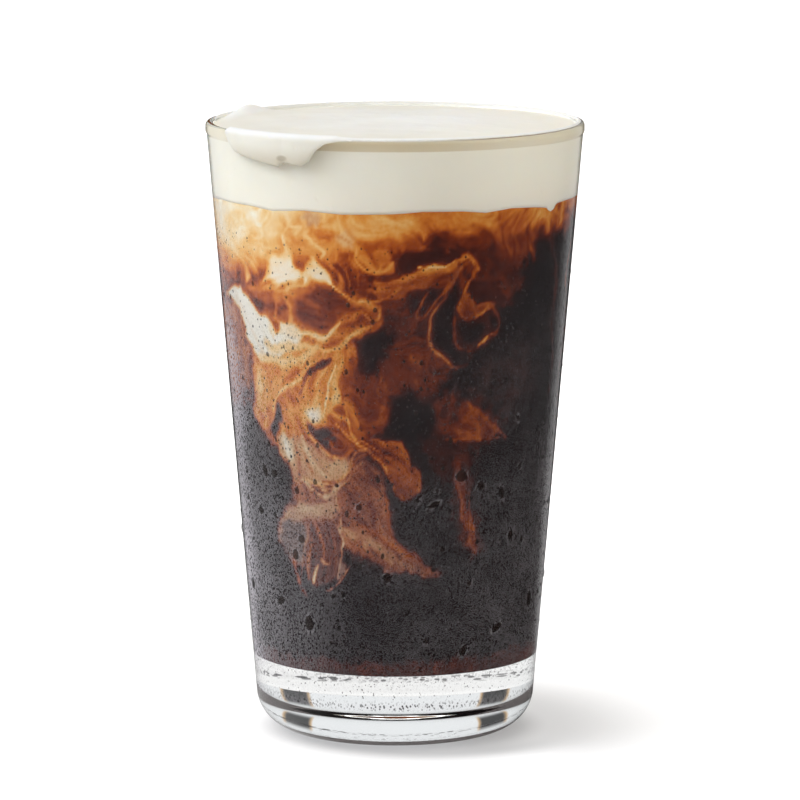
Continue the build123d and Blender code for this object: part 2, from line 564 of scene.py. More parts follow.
class Marbling:
    """Cream laid into the coffee's skin, stroke over stroke."""

    def __init__(self, bearing, height, shift=0.0, flip=1.0, stir=1.0):
        self.across = flip * (((bearing - shift + 180) % 360) - 180) * DEGREE
        self.up = height.copy()
        cloudy = smooth((height - 104) / 10) * smooth((-2 - self.across) / 8)
        for size, reach, more in EDDIES:
            reach = reach * stir
            for turn in range(3):
                du, dv = curl(self.across + AWAY, self.up, size, int(size * 10 * stir))
                self.across = self.across + du * reach * (1 + more * cloudy) / 3
                self.up = self.up + dv * reach * (1 + more * cloudy) / 3
        coarse, fine = (
            soft_noise(self.across + AWAY, self.up, size, seed) for size, seed in ((1.7, 77), (0.8, 78))
        )
        self.ragged = coarse + 0.7 * fine
        self.cream = np.full(bearing.shape, 0.02)
        self.cool = np.zeros(bearing.shape)
        self.flow = np.zeros(bearing.shape + (2,))

    def glow(self, size, share):
        """Lets bright cream shine a little way into the coffee round it."""
        spread = blur(self.cream, size / CELL_ACROSS, size / CELL_UP)
        self.cream = np.maximum(self.cream, spread * share)

    def within(self, low, high):
        """The cells between two corners."""
        return (self.across > low[0]) & (self.across < high[0]) & (self.up > low[1]) & (self.up < high[1])

    def spread(self, box, values):
        """Values for some cells, set into a field of noughts."""
        full = np.zeros(box.shape + values.shape[1:])
        full[box] = values
        return full

    def lay(self, mask, cream, cool, flow=None):
        self.cream += (cream - self.cream) * mask
        self.cool += (cool - self.cool) * mask
        if flow is not None:
            self.flow += (flow - self.flow) * mask[..., None]

    def stream(self, points, cream, cool=0.0, soft=(0.7, 0.7), strength=1.0):
        """A ribbon; points are bearing, height and half width; soft is how much of each side fades."""
        line = rounded_path([(b * DEGREE, h, w) for b, h, w in points])
        if isinstance(cream, tuple):
            tones = np.interp(np.linspace(0, 1, len(line)), np.linspace(0, 1, len(cream)), cream)
        else:
            tones = np.full(len(line), cream)
        reach = line[:, 2].max() + 0.5
        box = self.within(line[:, :2].min(0) - reach, line[:, :2].max(0) + reach)
        if not box.any():
            return
        p = np.stack([self.across[box], self.up[box]], -1)
        best = np.full(len(p), 1e9)
        side, tone = np.zeros(len(p)), np.zeros(len(p))
        flow = np.zeros((len(p), 2))
        for i in range(len(line) - 1):
            a, b = line[i], line[i + 1]
            d = b[:2] - a[:2]
            size = float(d @ d) or 1e-9
            t = np.clip(((p - a[:2]) @ d) / size, 0, 1)
            off = p - (a[:2] + t[:, None] * d)
            width = np.maximum(a[2] + (b[2] - a[2]) * t, 0.05)
            cross = (d[0] * off[:, 1] - d[1] * off[:, 0]) / math.sqrt(size)
            far = np.hypot(off[:, 0], off[:, 1]) / width
            near = far < best
            best = np.where(near, far, best)
            side = np.where(near, np.sign(cross), side)
            tone = np.where(near, tones[i] + (tones[i + 1] - tones[i]) * t, tone)
            flow[near] = d / math.sqrt(size)
        fade = np.where(side > 0, soft[0], soft[1])
        mask = smooth((1 - best + 0.28 * self.ragged[box]) / np.maximum(fade * 1.2, 0.4)) * strength
        self.lay(self.spread(box, mask), self.spread(box, tone), cool, self.spread(box, flow))

    def patch(self, outline, edge, core=None, reach=1.5, soft=0.5, cool=0.0, strength=1.0, grain=None):
        """A closed shape; its tone goes from edge at the outline to core at reach inside."""
        core = edge if core is None else core
        line = rounded_path([(b * DEGREE, h) for b, h in [*outline, outline[0]]], 5)
        box = self.within(line.min(0) - soft - 0.5, line.max(0) + soft + 0.5)
        if not box.any():
            return
        p = np.stack([self.across[box], self.up[box]], -1)
        gap = np.full(len(p), 1e9)
        inside = np.zeros(len(p), dtype=bool)
        for a, b in zip(line[:-1], line[1:]):
            d = b - a
            size = float(d @ d) or 1e-9
            t = np.clip(((p - a) @ d) / size, 0, 1)
            off = p - (a + t[:, None] * d)
            gap = np.minimum(gap, np.hypot(off[:, 0], off[:, 1]))
            crosses = (a[1] > p[:, 1]) != (b[1] > p[:, 1])
            with np.errstate(divide="ignore", invalid="ignore"):
                at = a[0] + (p[:, 1] - a[1]) * (b[0] - a[0]) / (b[1] - a[1])
            inside ^= crosses & (p[:, 0] < at)
        signed = np.where(inside, gap, -gap)
        mask = smooth((signed + 0.6 * soft * self.ragged[box]) / (2.2 * soft) + 0.5) * strength
        tone = edge + (core - edge) * smooth(signed / reach)
        flow = None
        if grain is not None:
            flow = np.zeros(self.flow.shape)
            flow[...] = (math.cos(math.radians(grain)), math.sin(math.radians(grain)))
        self.lay(self.spread(box, mask), self.spread(box, tone), cool, flow)


def lay_cream(m):
    """The cream's fall through the coffee, seen from its own front."""
    lay_depths(m)
    lay_cloud(m)
    lay_right_swirl(m)
    lay_shelf(m)
    lay_plume(m)
    lay_ribbons(m)
    lay_veils(m)
    lay_foot(m)


def lay_depths(m):
    """Dim red and brown far inside, and faint haze near the wall."""
    m.patch([(-22, 104), (-4, 107), (14, 105), (22, 98), (19, 88), (12, 81), (-2, 80), (-18, 84)], 0.3,
        soft=2.6)
    m.patch([(5, 96), (15, 92), (18.5, 89), (16, 84), (10, 80.5), (2, 83)], 0.33, soft=1.3)
    m.patch([(-20, 88), (-8, 88), (-1, 84), (-1.5, 76), (-7, 73), (-14, 75), (-20, 80)], 0.36, soft=1.5)
    m.patch([(20, 116), (34, 118), (46, 116), (48, 108), (41, 102), (30, 104), (24, 109)], 0.27, soft=3.2)
    m.patch([(24, 90), (40, 93), (54, 91), (54, 80), (44, 76), (30, 80)], 0.15, soft=4.5, cool=0.35)
    m.patch([(12, 83), (24, 82), (34, 80), (40, 75), (33, 71), (14, 72)], 0.29, soft=2.2)
    m.patch([(-13, 97), (-7, 99), (-2, 96), (-3, 91), (-9, 87), (-14, 89), (-15.5, 93)], 0.06, soft=1.5,
        strength=0.85)
    m.patch([(0, 81), (9, 82), (13, 77), (11, 71), (5, 70), (-1, 74)], 0.02, soft=2.0, strength=0.9)
    m.patch([(-84, 102), (-66, 101), (-60, 94), (-57, 87), (-61, 80), (-70, 77), (-84, 78)], 0.5, cool=0.4,
        soft=2.6)
    m.patch([(-84, 100), (-68, 99), (-62, 93), (-63, 88), (-84, 88)], 0.52, cool=0.25, soft=2.5,
        strength=0.7)
    m.patch([(-58, 106), (-20, 108), (-12, 98), (-16, 80), (-8, 72), (-20, 68), (-44, 68), (-56, 74)], 0.5,
        soft=1.6)
    m.patch([(-41, 72), (-14, 70), (-4, 65), (-2, 54), (0, 48), (12, 43), (-6, 43), (-20, 46), (-30, 40),
        (-40, 42), (-48, 48), (-40, 58)], 0.38, cool=0.3, soft=1.5)
    m.patch([(20, 70), (29, 70), (30, 60), (34, 50), (36, 46), (31, 45), (25, 50), (21, 60)], 0.24,
        soft=2.0)
    m.patch([(8, 73), (16, 74), (22, 70), (21, 63), (14, 64)], 0.18, soft=1.8)
    m.stream([(62, 114, 2.2), (68, 106, 2.8), (66, 97, 2.4), (71, 88, 1.6), (69, 80, 0.8)], 0.2,
        soft=(1, 1))
    m.stream([(80, 112, 1.6), (78, 104, 2.2), (84, 95, 2.0), (80, 84, 1.2), (84, 74, 0.6)], 0.36,
        soft=(1, 1))


def lay_cloud(m):
    """The cloud that hangs under the foam."""
    curtain = (  # bearing, tone, how deep it fades
        (-125, 0.5, 9), (-95, 0.7, 16), (-80, 0.9, 24), (-62, 0.9, 24), (-50, 0.86, 23), (-40, 0.8, 21),
        (-30, 0.76, 18), (-20, 0.7, 17), (-10, 0.64, 16), (0, 0.6, 12), (8, 0.56, 9.5), (14, 0.56, 9),
        (22, 0.55, 9),
        (30, 0.55, 9), (40, 0.56, 10), (48, 0.54, 10), (60, 0.53, 9.5), (72, 0.52, 9), (85, 0.5, 8),
        (110, 0.5, 12), (140, 0.45, 8), (170, 0.5, 12), (200, 0.5, 9), (235, 0.5, 9),
    )
    places = [c[0] * DEGREE for c in curtain]
    tone = np.interp(m.across, places, [c[1] for c in curtain])
    depth = np.interp(m.across, places, [c[2] for c in curtain])
    fall = (124.2 - m.up + 2.6 * billows(m.across, m.up, 71)) / depth
    body = smooth((1.25 - fall) / 0.95)
    drawn = curl(m.across, m.up, 9.0, 44)
    flow = np.stack([drawn[0] + 0.3, drawn[1] - 0.25], -1)
    m.lay(body, tone * (1 - 0.12 * smooth(fall)) + 0.1 * billows(m.across + 50, m.up, 72), 0.0, flow)
    # pale and tan folds at the left
    m.stream([(-56, 121, 1.2), (-53, 116, 1.6), (-52.5, 111, 1.2)], 0.78, strength=0.45, soft=(1, 1))
    m.stream([(-47, 122, 1.0), (-46.5, 117, 1.2), (-48, 112, 0.9)], 0.77, strength=0.5, soft=(1, 1))
    m.stream([(-66, 118, 1.5), (-62, 112, 2.0), (-58, 107, 1.6)], 0.93, strength=0.6, soft=(1, 1))
    m.patch([(-50, 106.4), (-46.5, 109.6), (-44.5, 112.2), (-40, 113.6), (-35.5, 113.6), (-33, 111.2),
        (-32.8, 108.8), (-37, 107.2), (-43, 106.3)], 0.87, 0.93, soft=0.7, grain=20)
    m.stream([(-51, 105.8, 0.35), (-48, 108, 0.45), (-45.6, 111.2, 0.4), (-42, 113.4, 0.3)], 0.74,
        strength=0.7)
    m.stream([(-37, 123, 0.8), (-37.6, 118, 0.6), (-37.2, 113.6, 0.7)], 0.87, strength=0.7, soft=(0.9, 0.9))
    m.patch([(-34.5, 122.8), (-31, 123.4), (-28, 122.6), (-28.4, 120.6), (-31, 119.8), (-34, 120.8)], 0.68,
        cool=0.45, soft=0.8, strength=0.8)
    m.stream([(-36.5, 119, 0.9), (-32, 118, 1.3), (-27, 117.6, 1.2), (-23.4, 115.8, 0.9),
        (-21, 113.4, 0.6)], 0.86, strength=0.85, soft=(0.8, 0.9))
    m.stream([(-27, 119.6, 0.5), (-22, 118.6, 0.7), (-17, 118.8, 0.6)], 0.58, strength=0.6)
    m.patch([(-34, 115.8), (-28, 116), (-24.4, 114.4), (-23.6, 112.4), (-27, 113.4), (-32, 113)], 0.7,
        soft=0.8, strength=0.7)
    m.stream([(-41, 105.6, 0.4), (-36, 107, 0.55), (-32, 108.7, 0.6), (-29.2, 111, 0.5), (-27, 113, 0.3)],
        0.66, strength=0.85)
    m.patch([(-33, 109.6), (-29.6, 110.4), (-27, 112.6), (-24.6, 113.2), (-22.6, 111.6), (-21.8, 108.8),
        (-22.8, 107.4), (-25.6, 107.8), (-29, 107.9), (-33, 107)], 0.84, 0.92, soft=0.6, grain=25)
    # amber folds and rust hollows in the middle
    m.patch([(-24, 123), (-8, 123.4), (6, 123), (4, 118), (-8, 118.6), (-14, 116), (-20, 118.4)], 0.63,
        0.68, soft=1.2)
    m.patch([(-18.6, 119), (-14, 119.6), (-11.6, 118.6), (-13, 116.6), (-17, 116.4)], 0.7, cool=0.25,
        soft=0.8, strength=0.8)
    m.stream([(-20.6, 116, 0.8), (-19.4, 111, 0.9), (-18, 107.2, 0.7)], 0.62, strength=0.8)
    m.patch([(-15.4, 114), (-12.6, 111), (-9.4, 108.6), (-8.6, 105.6), (-12.6, 105.3), (-16.6, 106.4),
        (-16.4, 110)], 0.4, 0.35, soft=0.9)
    m.stream([(-17.4, 114.4, 0.4), (-16, 110.4, 0.5), (-15.6, 106.6, 0.4)], 0.56, strength=0.8)
    m.stream([(-13.4, 114.6, 0.3), (-12, 111, 0.4), (-12.6, 107.4, 0.3)], 0.52, strength=0.7)
    m.patch([(-11.2, 116.2), (-8.4, 117.8), (-4.6, 117.6), (-1.4, 116), (-1, 113), (-3.6, 111.4),
        (-7.4, 111), (-10.4, 113)], 0.53, 0.5, soft=0.7)
    m.stream([(-12.2, 117.6, 0.35), (-11.6, 113.8, 0.5), (-9.2, 111.2, 0.6), (-5.4, 110.3, 0.6),
        (-2.2, 111, 0.5), (-0.4, 112.6, 0.3)], 0.65, strength=0.9)
    m.patch([(-6.4, 111), (-2.6, 111.6), (-0.6, 112.6), (0, 110.4), (-3, 109.6)], 0.63, soft=0.6,
        strength=0.8)
    m.patch([(0.4, 117), (3, 118.8), (7, 119), (10, 117.4), (9, 115), (4, 114.4)], 0.5, 0.47, soft=0.9)
    m.stream([(6.4, 120.4, 0.4), (8.4, 119.4, 0.5), (9.4, 117.4, 0.3)], 0.64, strength=0.8)
    # rust that thins out to the right
    m.patch([(12, 119.6), (22, 119.4), (34, 119), (46, 117), (52, 113), (46, 111.4), (38, 114), (28, 115),
        (16, 115)], 0.38, soft=1.8, strength=0.75)
    m.patch([(13, 117.4), (22, 117.4), (34, 116.4), (38, 112), (32, 107), (26, 108), (21, 114.4)], 0.25,
        soft=1.8, strength=0.9)
    m.stream([(40, 118.4, 1.6), (46, 116, 1.8), (50, 112.6, 1.6)], 0.4, soft=(1, 1), strength=0.8)


def lay_right_swirl(m):
    """The ribbon that runs right, hooks over and falls as a loop."""
    m.patch([(0.4, 113.4), (2.6, 114.6), (8, 115.6), (14, 115.2), (19, 114.4), (19.8, 112.4), (14, 111.6),
        (8.2, 111.8), (6.4, 110.4), (3.4, 108.8), (1.2, 109.8)], 0.3, 0.2, reach=1.0, soft=0.45)
    m.patch([(-8, 106), (-2, 108.6), (3, 108.6), (8, 111.6), (14, 111.4), (19, 112), (21, 110.6),
        (17.6, 107.4), (13, 106.4), (6, 106.6), (2, 104.6), (-4, 103.6)], 0.46, 0.42, soft=0.5, grain=12)
    m.stream([(-7, 107.6, 1.0), (-1, 107.8, 1.1), (4, 109, 1.2), (9, 110.8, 1.3), (14, 110.5, 1.3),
        (18, 111, 1.3), (21, 112.8, 1.2), (24, 113.6, 1.0), (26.4, 112.6, 0.9), (27.3, 110.8, 0.8)],
        (0.5, 0.52, 0.56, 0.6, 0.6, 0.56, 0.52, 0.55), soft=(0.4, 0.9))
    m.stream([(7.2, 111.7, 0.28), (11, 111.4, 0.36), (15, 111.2, 0.34), (18.6, 112.2, 0.28),
        (20, 113.2, 0.18)], 0.84)
    m.stream([(21.4, 112.6, 0.3), (24.2, 113.2, 0.3), (26.2, 111.9, 0.35), (26.9, 110.4, 0.3)], 0.64,
        strength=0.7)
    m.patch([(21.6, 112), (24, 112.6), (25.4, 111), (24, 108.6), (21.6, 106), (20.4, 107.6), (20, 110)],
        0.36, 0.3, soft=0.5)
    m.stream([(27.2, 111, 0.7), (25.8, 109.2, 0.8), (23.6, 107, 0.7), (22, 104.8, 0.65),
        (21.2, 102.6, 0.6)], 0.5, soft=(0.8, 0.4))
    m.patch([(19.6, 106.6), (21.4, 106), (20.8, 101), (21, 95), (20.2, 93), (19.6, 98)], 0.33, soft=0.5)
    # the lobe at the far right
    m.patch([(21.2, 104.4), (23.5, 105.6), (27, 104.2), (31, 103), (34, 103.3), (34.6, 101.6), (31, 101),
        (27, 100.2), (23.6, 100.1), (21.3, 101.6)], 0.44, 0.37, reach=1.6, soft=0.4)
    m.stream([(20.9, 103.4, 0.4), (21.6, 101.2, 0.6), (25, 99.9, 0.6), (29, 100.6, 0.5), (32, 101.8, 0.4)],
        0.56)
    m.stream([(28.6, 103.6, 0.3), (32, 103, 0.4), (34, 102.6, 0.4)], 0.5)
    m.patch([(21.2, 100), (27, 99.8), (32, 100), (34.6, 97), (33, 93.4), (29, 91.4), (24, 91), (21, 93.6)],
        0.2, soft=0.9)
    m.patch([(24, 99), (28, 98.6), (31, 97), (29.6, 94), (26, 94), (23.6, 96)], 0.06, soft=1.0)
    m.stream([(34, 102.4, 0.9), (36, 99.8, 1.1), (36.8, 97.4, 1.1), (35.4, 95.6, 1.0), (33, 94.6, 0.9),
        (31, 93.9, 0.8), (30, 93, 0.4)], (0.44, 0.34, 0.34, 0.46, 0.58, 0.66), soft=(0.9, 0.6))
    m.stream([(34, 95.8, 0.35), (32.2, 95.1, 0.5), (30.9, 93.9, 0.4)], 0.77, strength=0.85)
    m.stream([(20.8, 99.6, 0.5), (20.8, 96.4, 0.6), (21.6, 93.8, 0.65), (24, 92.2, 0.7), (27, 91.6, 0.5)],
        0.36)
    # the long strand and its small loop
    m.patch([(4, 99), (10, 99.5), (11.8, 96), (12, 91.5), (18, 88.6), (10, 86.6), (4, 90)], 0.3, 0.33,
        soft=1.3)
    m.stream([(21, 111.2, 0.9), (19.2, 108.6, 0.95), (16.8, 105.6, 0.8), (14.6, 102.8, 0.7),
        (12.9, 99.8, 0.7), (12, 96.8, 0.85), (11.8, 94, 0.9), (13.2, 91.8, 0.8), (16, 90.1, 0.55),
        (19, 89.1, 0.38), (22.5, 88.5, 0.32), (26, 88.6, 0.2)], (0.46, 0.5, 0.52, 0.54, 0.57, 0.57, 0.5),
        cool=0.12, soft=(0.4, 1.0))
    m.stream([(14, 102, 0.25), (12.5, 98.6, 0.28), (12.2, 94.6, 0.3), (14.2, 91.6, 0.28), (18, 89.6, 0.24)],
        0.66, cool=0.1, strength=0.7)
    m.stream([(17.3, 107.8, 0.7), (13.8, 104.2, 0.6), (11.6, 101.2, 0.5), (10, 100, 0.42), (8.4, 100, 0.42),
        (7.8, 101.4, 0.42), (8.7, 103.8, 0.42), (10, 105.6, 0.4)], 0.46)
    m.glow(0.9, 0.78)
    m.glow(2.6, 0.55)
    m.patch([(8.8, 101), (10.6, 101.6), (12.4, 103.6), (11.4, 105.2), (9.6, 104.2)], 0.08, soft=0.4)
    m.patch([(4.6, 104), (7, 104.6), (7.4, 102.4), (6, 101.4), (4.4, 102.4)], 0.1, soft=0.6, strength=0.85)
    m.patch([(17.2, 105.6), (19.6, 106.6), (20.2, 101), (20, 95), (21.4, 91.8), (20.4, 90), (16.4, 91.2),
        (13.8, 93.6), (13.6, 98), (15, 102)], 0.04, soft=0.45)
    # the spur that stands off at the right
    m.patch([(24, 80.4), (27.4, 80.2), (31, 78.6), (35, 75.6), (40, 73), (43.6, 70.8), (40, 71), (33, 71.8),
        (26, 72.2), (18, 72), (22, 75)], 0.34, 0.37, reach=1.5, soft=0.9)
    m.stream([(27, 80.4, 0.5), (31, 78, 0.8), (36, 74.8, 0.9), (40, 73, 0.8), (43.4, 71, 0.35)], 0.46,
        soft=(0.4, 1.0))
    m.stream([(17, 72.4, 0.4), (25, 72.6, 0.7), (34, 72, 0.8), (41, 71.4, 0.5)], 0.42, soft=(0.9, 0.5))
    m.stream([(23, 68, 1.2), (24.4, 63, 1.7), (26, 58, 1.9), (28.4, 53, 1.9), (31, 48.6, 1.5),
        (33.4, 45.6, 0.7)], (0.28, 0.38, 0.4, 0.38, 0.34), soft=(0.9, 0.5))
    m.stream([(28.4, 60, 0.4), (30, 54, 0.5), (32.6, 48, 0.4)], 0.46, strength=0.7)


def lay_shelf(m):
    """The two brown windows, the amber round them and the white stream at their left."""
    m.patch([(-59, 104.8), (-52, 105.6), (-44, 105.8), (-36, 106.6), (-30, 108.2), (-26, 108), (-20, 106.8),
        (-12, 104.6), (-6, 103), (-5, 99), (-9, 95.6), (-18, 94.6), (-30, 95), (-42, 97), (-52, 99)], 0.55,
        0.52, soft=0.7, grain=-8)
    m.stream([(-58, 104.9, 0.4), (-52, 104.6, 0.9), (-45, 105, 0.9), (-38, 105.6, 0.8), (-33, 107, 0.7),
        (-29, 108.4, 0.5)], (0.6, 0.66, 0.68, 0.68, 0.7), soft=(0.4, 0.9))
    m.patch([(-36, 102.4), (-34, 104.4), (-30, 106), (-26.6, 107.2), (-23.4, 107), (-20, 106), (-17, 104.4),
        (-13, 103.3), (-9, 102.7), (-8.4, 101.6), (-12.6, 100.8), (-16, 99.8), (-19, 98.3), (-22, 97.1),
        (-26, 96.8), (-30, 97.1), (-33, 98), (-35.4, 100)], 0.42, 0.34, reach=1.6, soft=0.55)
    m.patch([(-30, 104.6), (-26, 106), (-23, 105.4), (-24, 102.6), (-28, 101.6), (-31, 102.6)], 0.4,
        soft=1.0, strength=0.7)
    m.patch([(-59.8, 103.2), (-58, 104.5), (-55, 103.3), (-51, 102.4), (-48, 102.2), (-48, 100.4),
        (-51, 99.4), (-53.5, 99.6), (-56, 101.3)], 0.4, 0.3, reach=1.0, soft=0.45)
    m.patch([(-48.6, 102.2), (-45, 102.2), (-40, 102.4), (-38.4, 101), (-41, 99.4), (-45, 99),
        (-48.6, 99.8)], 0.44, 0.4, soft=0.6)
    m.stream([(-44.4, 104, 0.5), (-43.2, 101.4, 0.5), (-43.6, 98.6, 0.5)], 0.6, strength=0.9)
    m.stream([(-40.6, 105, 0.5), (-38.2, 102, 0.7), (-37.2, 99, 0.8), (-38.4, 97, 0.7)], (0.6, 0.66, 0.72),
        soft=(0.6, 0.6))
    m.stream([(-24.6, 109.4, 0.8), (-22.8, 107.9, 0.6), (-21, 106.9, 0.35), (-18, 105.2, 0.32),
        (-15, 104.2, 0.3), (-11, 103.8, 0.3)], (0.93, 0.93, 0.9, 0.84, 0.78, 0.68), soft=(0.8, 0.3))
    m.stream([(-11, 103.8, 0.32), (-6, 103.9, 0.4), (-2.5, 104.8, 0.5), (1, 106.6, 0.6)],
        (0.66, 0.56, 0.48))
    m.patch([(-20, 98.6), (-15, 101), (-8, 102.4), (-4.5, 102.6), (-5, 99), (-9, 96), (-13, 95.3),
        (-18, 96.4)], 0.5, 0.44, reach=1.5, soft=0.6, grain=25)
    m.stream([(-11, 101.6, 0.35), (-8.4, 99.6, 0.45), (-6, 100, 0.45), (-4.8, 102, 0.3)], 0.62)
    m.patch([(-18, 97.4), (-14, 98.8), (-10, 98.6), (-11, 96.8), (-15, 96.2)], 0.42, soft=0.6, strength=0.8)
    m.glow(0.8, 0.8)
    # the white stream
    m.patch([(-76, 102.6), (-66, 104.6), (-60, 103), (-56, 100.9), (-51, 99.1), (-47, 98.3), (-44.5, 96.4),
        (-42, 97.3), (-37, 97.6), (-33, 96.5), (-34, 93.2), (-39, 91.6), (-44, 89.4), (-50, 87.6),
        (-54, 88.4), (-57, 91), (-60.5, 93.5), (-62.5, 96.5), (-65.5, 99.8), (-71, 101.4)], 0.94, 0.97,
        soft=0.45, cool=0.42, grain=-52)
    m.stream([(-66, 102, 0.6), (-60, 98, 0.8), (-55, 93, 0.9), (-50, 89.6, 0.6)], 0.88, cool=0.7,
        strength=0.5, soft=(0.9, 0.9))
    m.stream([(-47, 96.6, 1.7), (-40, 95, 2.3), (-34, 94.8, 1.9)], 0.91, cool=0.05, strength=0.9,
        soft=(0.9, 0.9))
    m.stream([(-50, 93, 1.6), (-46, 91.4, 2.0), (-40, 91, 1.8)], 0.8, cool=0.0, strength=0.8, soft=(1, 1))
    m.stream([(-47.4, 97.8, 0.25), (-45.6, 95.2, 0.3), (-46.4, 92, 0.3)], 0.78, strength=0.6)
    m.patch([(-46, 98.6), (-43.6, 97.6), (-41.4, 97.2), (-42.6, 95.4), (-44, 95.4)], 0.5, 0.42, reach=0.6,
        soft=0.35)
    # cream bands under the window
    m.stream([(-40, 96, 1.6), (-34, 95.3, 1.8), (-28, 95.4, 1.4), (-23, 96.4, 0.9), (-20, 97.9, 0.7),
        (-18, 98.6, 0.3)], (0.92, 0.87, 0.84, 0.83, 0.8), soft=(0.35, 0.9))
    m.stream([(-46, 92, 1.6), (-36, 92.6, 1.9), (-28, 92.8, 1.5), (-21, 93.6, 1.1), (-15, 95, 0.9),
        (-11, 96.6, 0.8), (-8.4, 98, 0.5)], (0.86, 0.82, 0.78, 0.74, 0.68, 0.6), soft=(0.7, 0.5))
    m.stream([(-32, 94.2, 0.3), (-26, 94.1, 0.5), (-20, 95.4, 0.5), (-14, 97.2, 0.5)], (0.66, 0.52, 0.48))
    m.stream([(-36, 97.4, 0.25), (-32, 96.2, 0.35), (-27, 96.2, 0.3)], 0.74, strength=0.6)


def lay_plume(m):
    """The amber plume that folds down under the shelf."""
    m.patch([(-57, 88.4), (-50, 88.6), (-42, 90.6), (-35, 91.6), (-26, 92.4), (-18, 92.8), (-13, 93.5),
        (-16.6, 90), (-18, 87), (-19.2, 84), (-19, 81), (-16, 77.6), (-22, 76), (-30, 75), (-36, 72),
        (-44, 71.6), (-50, 73), (-54, 72.4), (-58, 74), (-60.6, 76), (-58.6, 80), (-58.6, 84)], 0.6, 0.64,
        soft=0.7, grain=62)
    m.patch([(-57, 88), (-51, 88), (-46.6, 84), (-48, 79), (-50, 74), (-53, 72.4), (-58.2, 74.2),
        (-60.4, 76), (-58.2, 80), (-58.2, 84)], 0.63, 0.72, reach=2.5, soft=0.5, grain=75)
    m.stream([(-55.6, 87, 1.0), (-54.6, 83, 1.7), (-55.6, 79, 1.6)], 0.8, strength=0.8, soft=(1, 1))
    m.stream([(-50.4, 87, 0.6), (-49, 83.4, 0.9), (-50.6, 79, 0.8), (-52, 75, 0.6)], 0.58, strength=0.7,
        soft=(1, 1))
    m.stream([(-59, 78, 0.8), (-55, 75.4, 1.0), (-51, 73.4, 0.6)], 0.56, strength=0.7, soft=(1, 1))
    m.stream([(-53, 88.8, 1.4), (-46, 88.6, 2.0), (-39, 89, 1.9), (-33, 90.4, 1.3), (-28, 92, 0.8)],
        (0.88, 0.83, 0.78, 0.76), soft=(0.7, 1.0))
    m.stream([(-48, 87, 0.7), (-43.4, 85, 1.0), (-38, 86, 0.8), (-33.6, 88.4, 0.6)], 0.55, strength=0.75,
        soft=(1, 1))
    m.stream([(-39.4, 91.4, 0.25), (-37.4, 89, 0.35), (-34.6, 88, 0.35), (-32.6, 90.6, 0.3)], 0.9,
        strength=0.8)
    m.stream([(-34, 85.8, 0.35), (-38, 84.2, 0.5), (-42, 82.4, 0.55), (-46.4, 79.8, 0.45),
        (-48.6, 77, 0.3)], 0.84)
    m.stream([(-36, 83.6, 0.4), (-40, 82, 0.5), (-44.4, 79.6, 0.4)], 0.56, strength=0.8)
    m.stream([(-36.4, 83.4, 0.7), (-34.4, 81, 1.0), (-33, 79.4, 0.8)], 0.5, strength=0.8, soft=(1, 1))
    # folds to the right of the slit
    m.stream([(-27, 89, 0.9), (-29, 86, 1.2), (-31.6, 82, 1.1), (-33.6, 79.8, 0.6)], 0.58, soft=(0.9, 0.9))
    m.stream([(-24.8, 90.4, 0.7), (-26.6, 86, 0.9), (-28.4, 82, 0.9), (-29.6, 79.4, 0.6)], 0.7,
        soft=(0.9, 0.9))
    m.stream([(-20.6, 92, 1.0), (-21.6, 88, 1.3), (-21.2, 85, 1.6), (-21, 82, 1.7), (-22.4, 79, 1.6),
        (-24, 76.4, 1.0)], (0.66, 0.74, 0.78, 0.8, 0.78, 0.66), soft=(0.9, 0.8))
    m.stream([(-21.4, 89.6, 0.22), (-23.4, 85.4, 0.3), (-25, 81, 0.34), (-26.3, 77, 0.28)], 0.93)
    m.stream([(-25.4, 86.6, 0.3), (-27, 83, 0.35), (-27.8, 80.6, 0.3)], 0.54, strength=0.6)
    m.stream([(-17.6, 92.6, 0.6), (-18.4, 88, 0.7), (-19.2, 84, 0.6), (-18.8, 80.6, 0.5)], 0.52,
        soft=(1.0, 0.6))
    # the lower left fold
    m.patch([(-46.4, 80), (-40, 81.6), (-36, 79.4), (-34.6, 75.4), (-35.6, 72), (-41, 71.4), (-46.4, 71.8),
        (-46.8, 75)], 0.52, 0.55, soft=0.6, grain=-65)
    m.stream([(-44.6, 79.4, 0.5), (-43.4, 76, 0.6), (-43.6, 72.8, 0.5)], 0.62, strength=0.8)
    m.stream([(-40, 77.6, 0.4), (-38.8, 74.6, 0.5), (-38.6, 72, 0.4)], 0.64, strength=0.7)
    m.glow(0.9, 0.78)
    m.glow(2.2, 0.5)
    m.stream([(-22.6, 90.9, 0.35), (-25, 90.2, 0.95), (-28.5, 88.5, 1.05), (-31.5, 86.5, 0.8),
        (-33.6, 84, 0.55), (-35.6, 81.6, 0.35)], (0.1, 0.06, 0.1, 0.2, 0.36, 0.44), soft=(0.45, 0.6),
        cool=0.2)
    m.patch([(-49.6, 73), (-47.6, 76.4), (-45.4, 79.4), (-43.6, 77.4), (-44.4, 75), (-46.2, 74.2),
        (-46.8, 72), (-48.4, 70.6)], 0.3, 0.22, soft=0.5, cool=0.8)
    m.patch([(-33.4, 77.6), (-31, 78.8), (-28.2, 79.4), (-27, 78.2), (-27.8, 76), (-30, 75.2), (-32, 75.8)],
        0.84, 0.95, soft=0.6, cool=0.2)


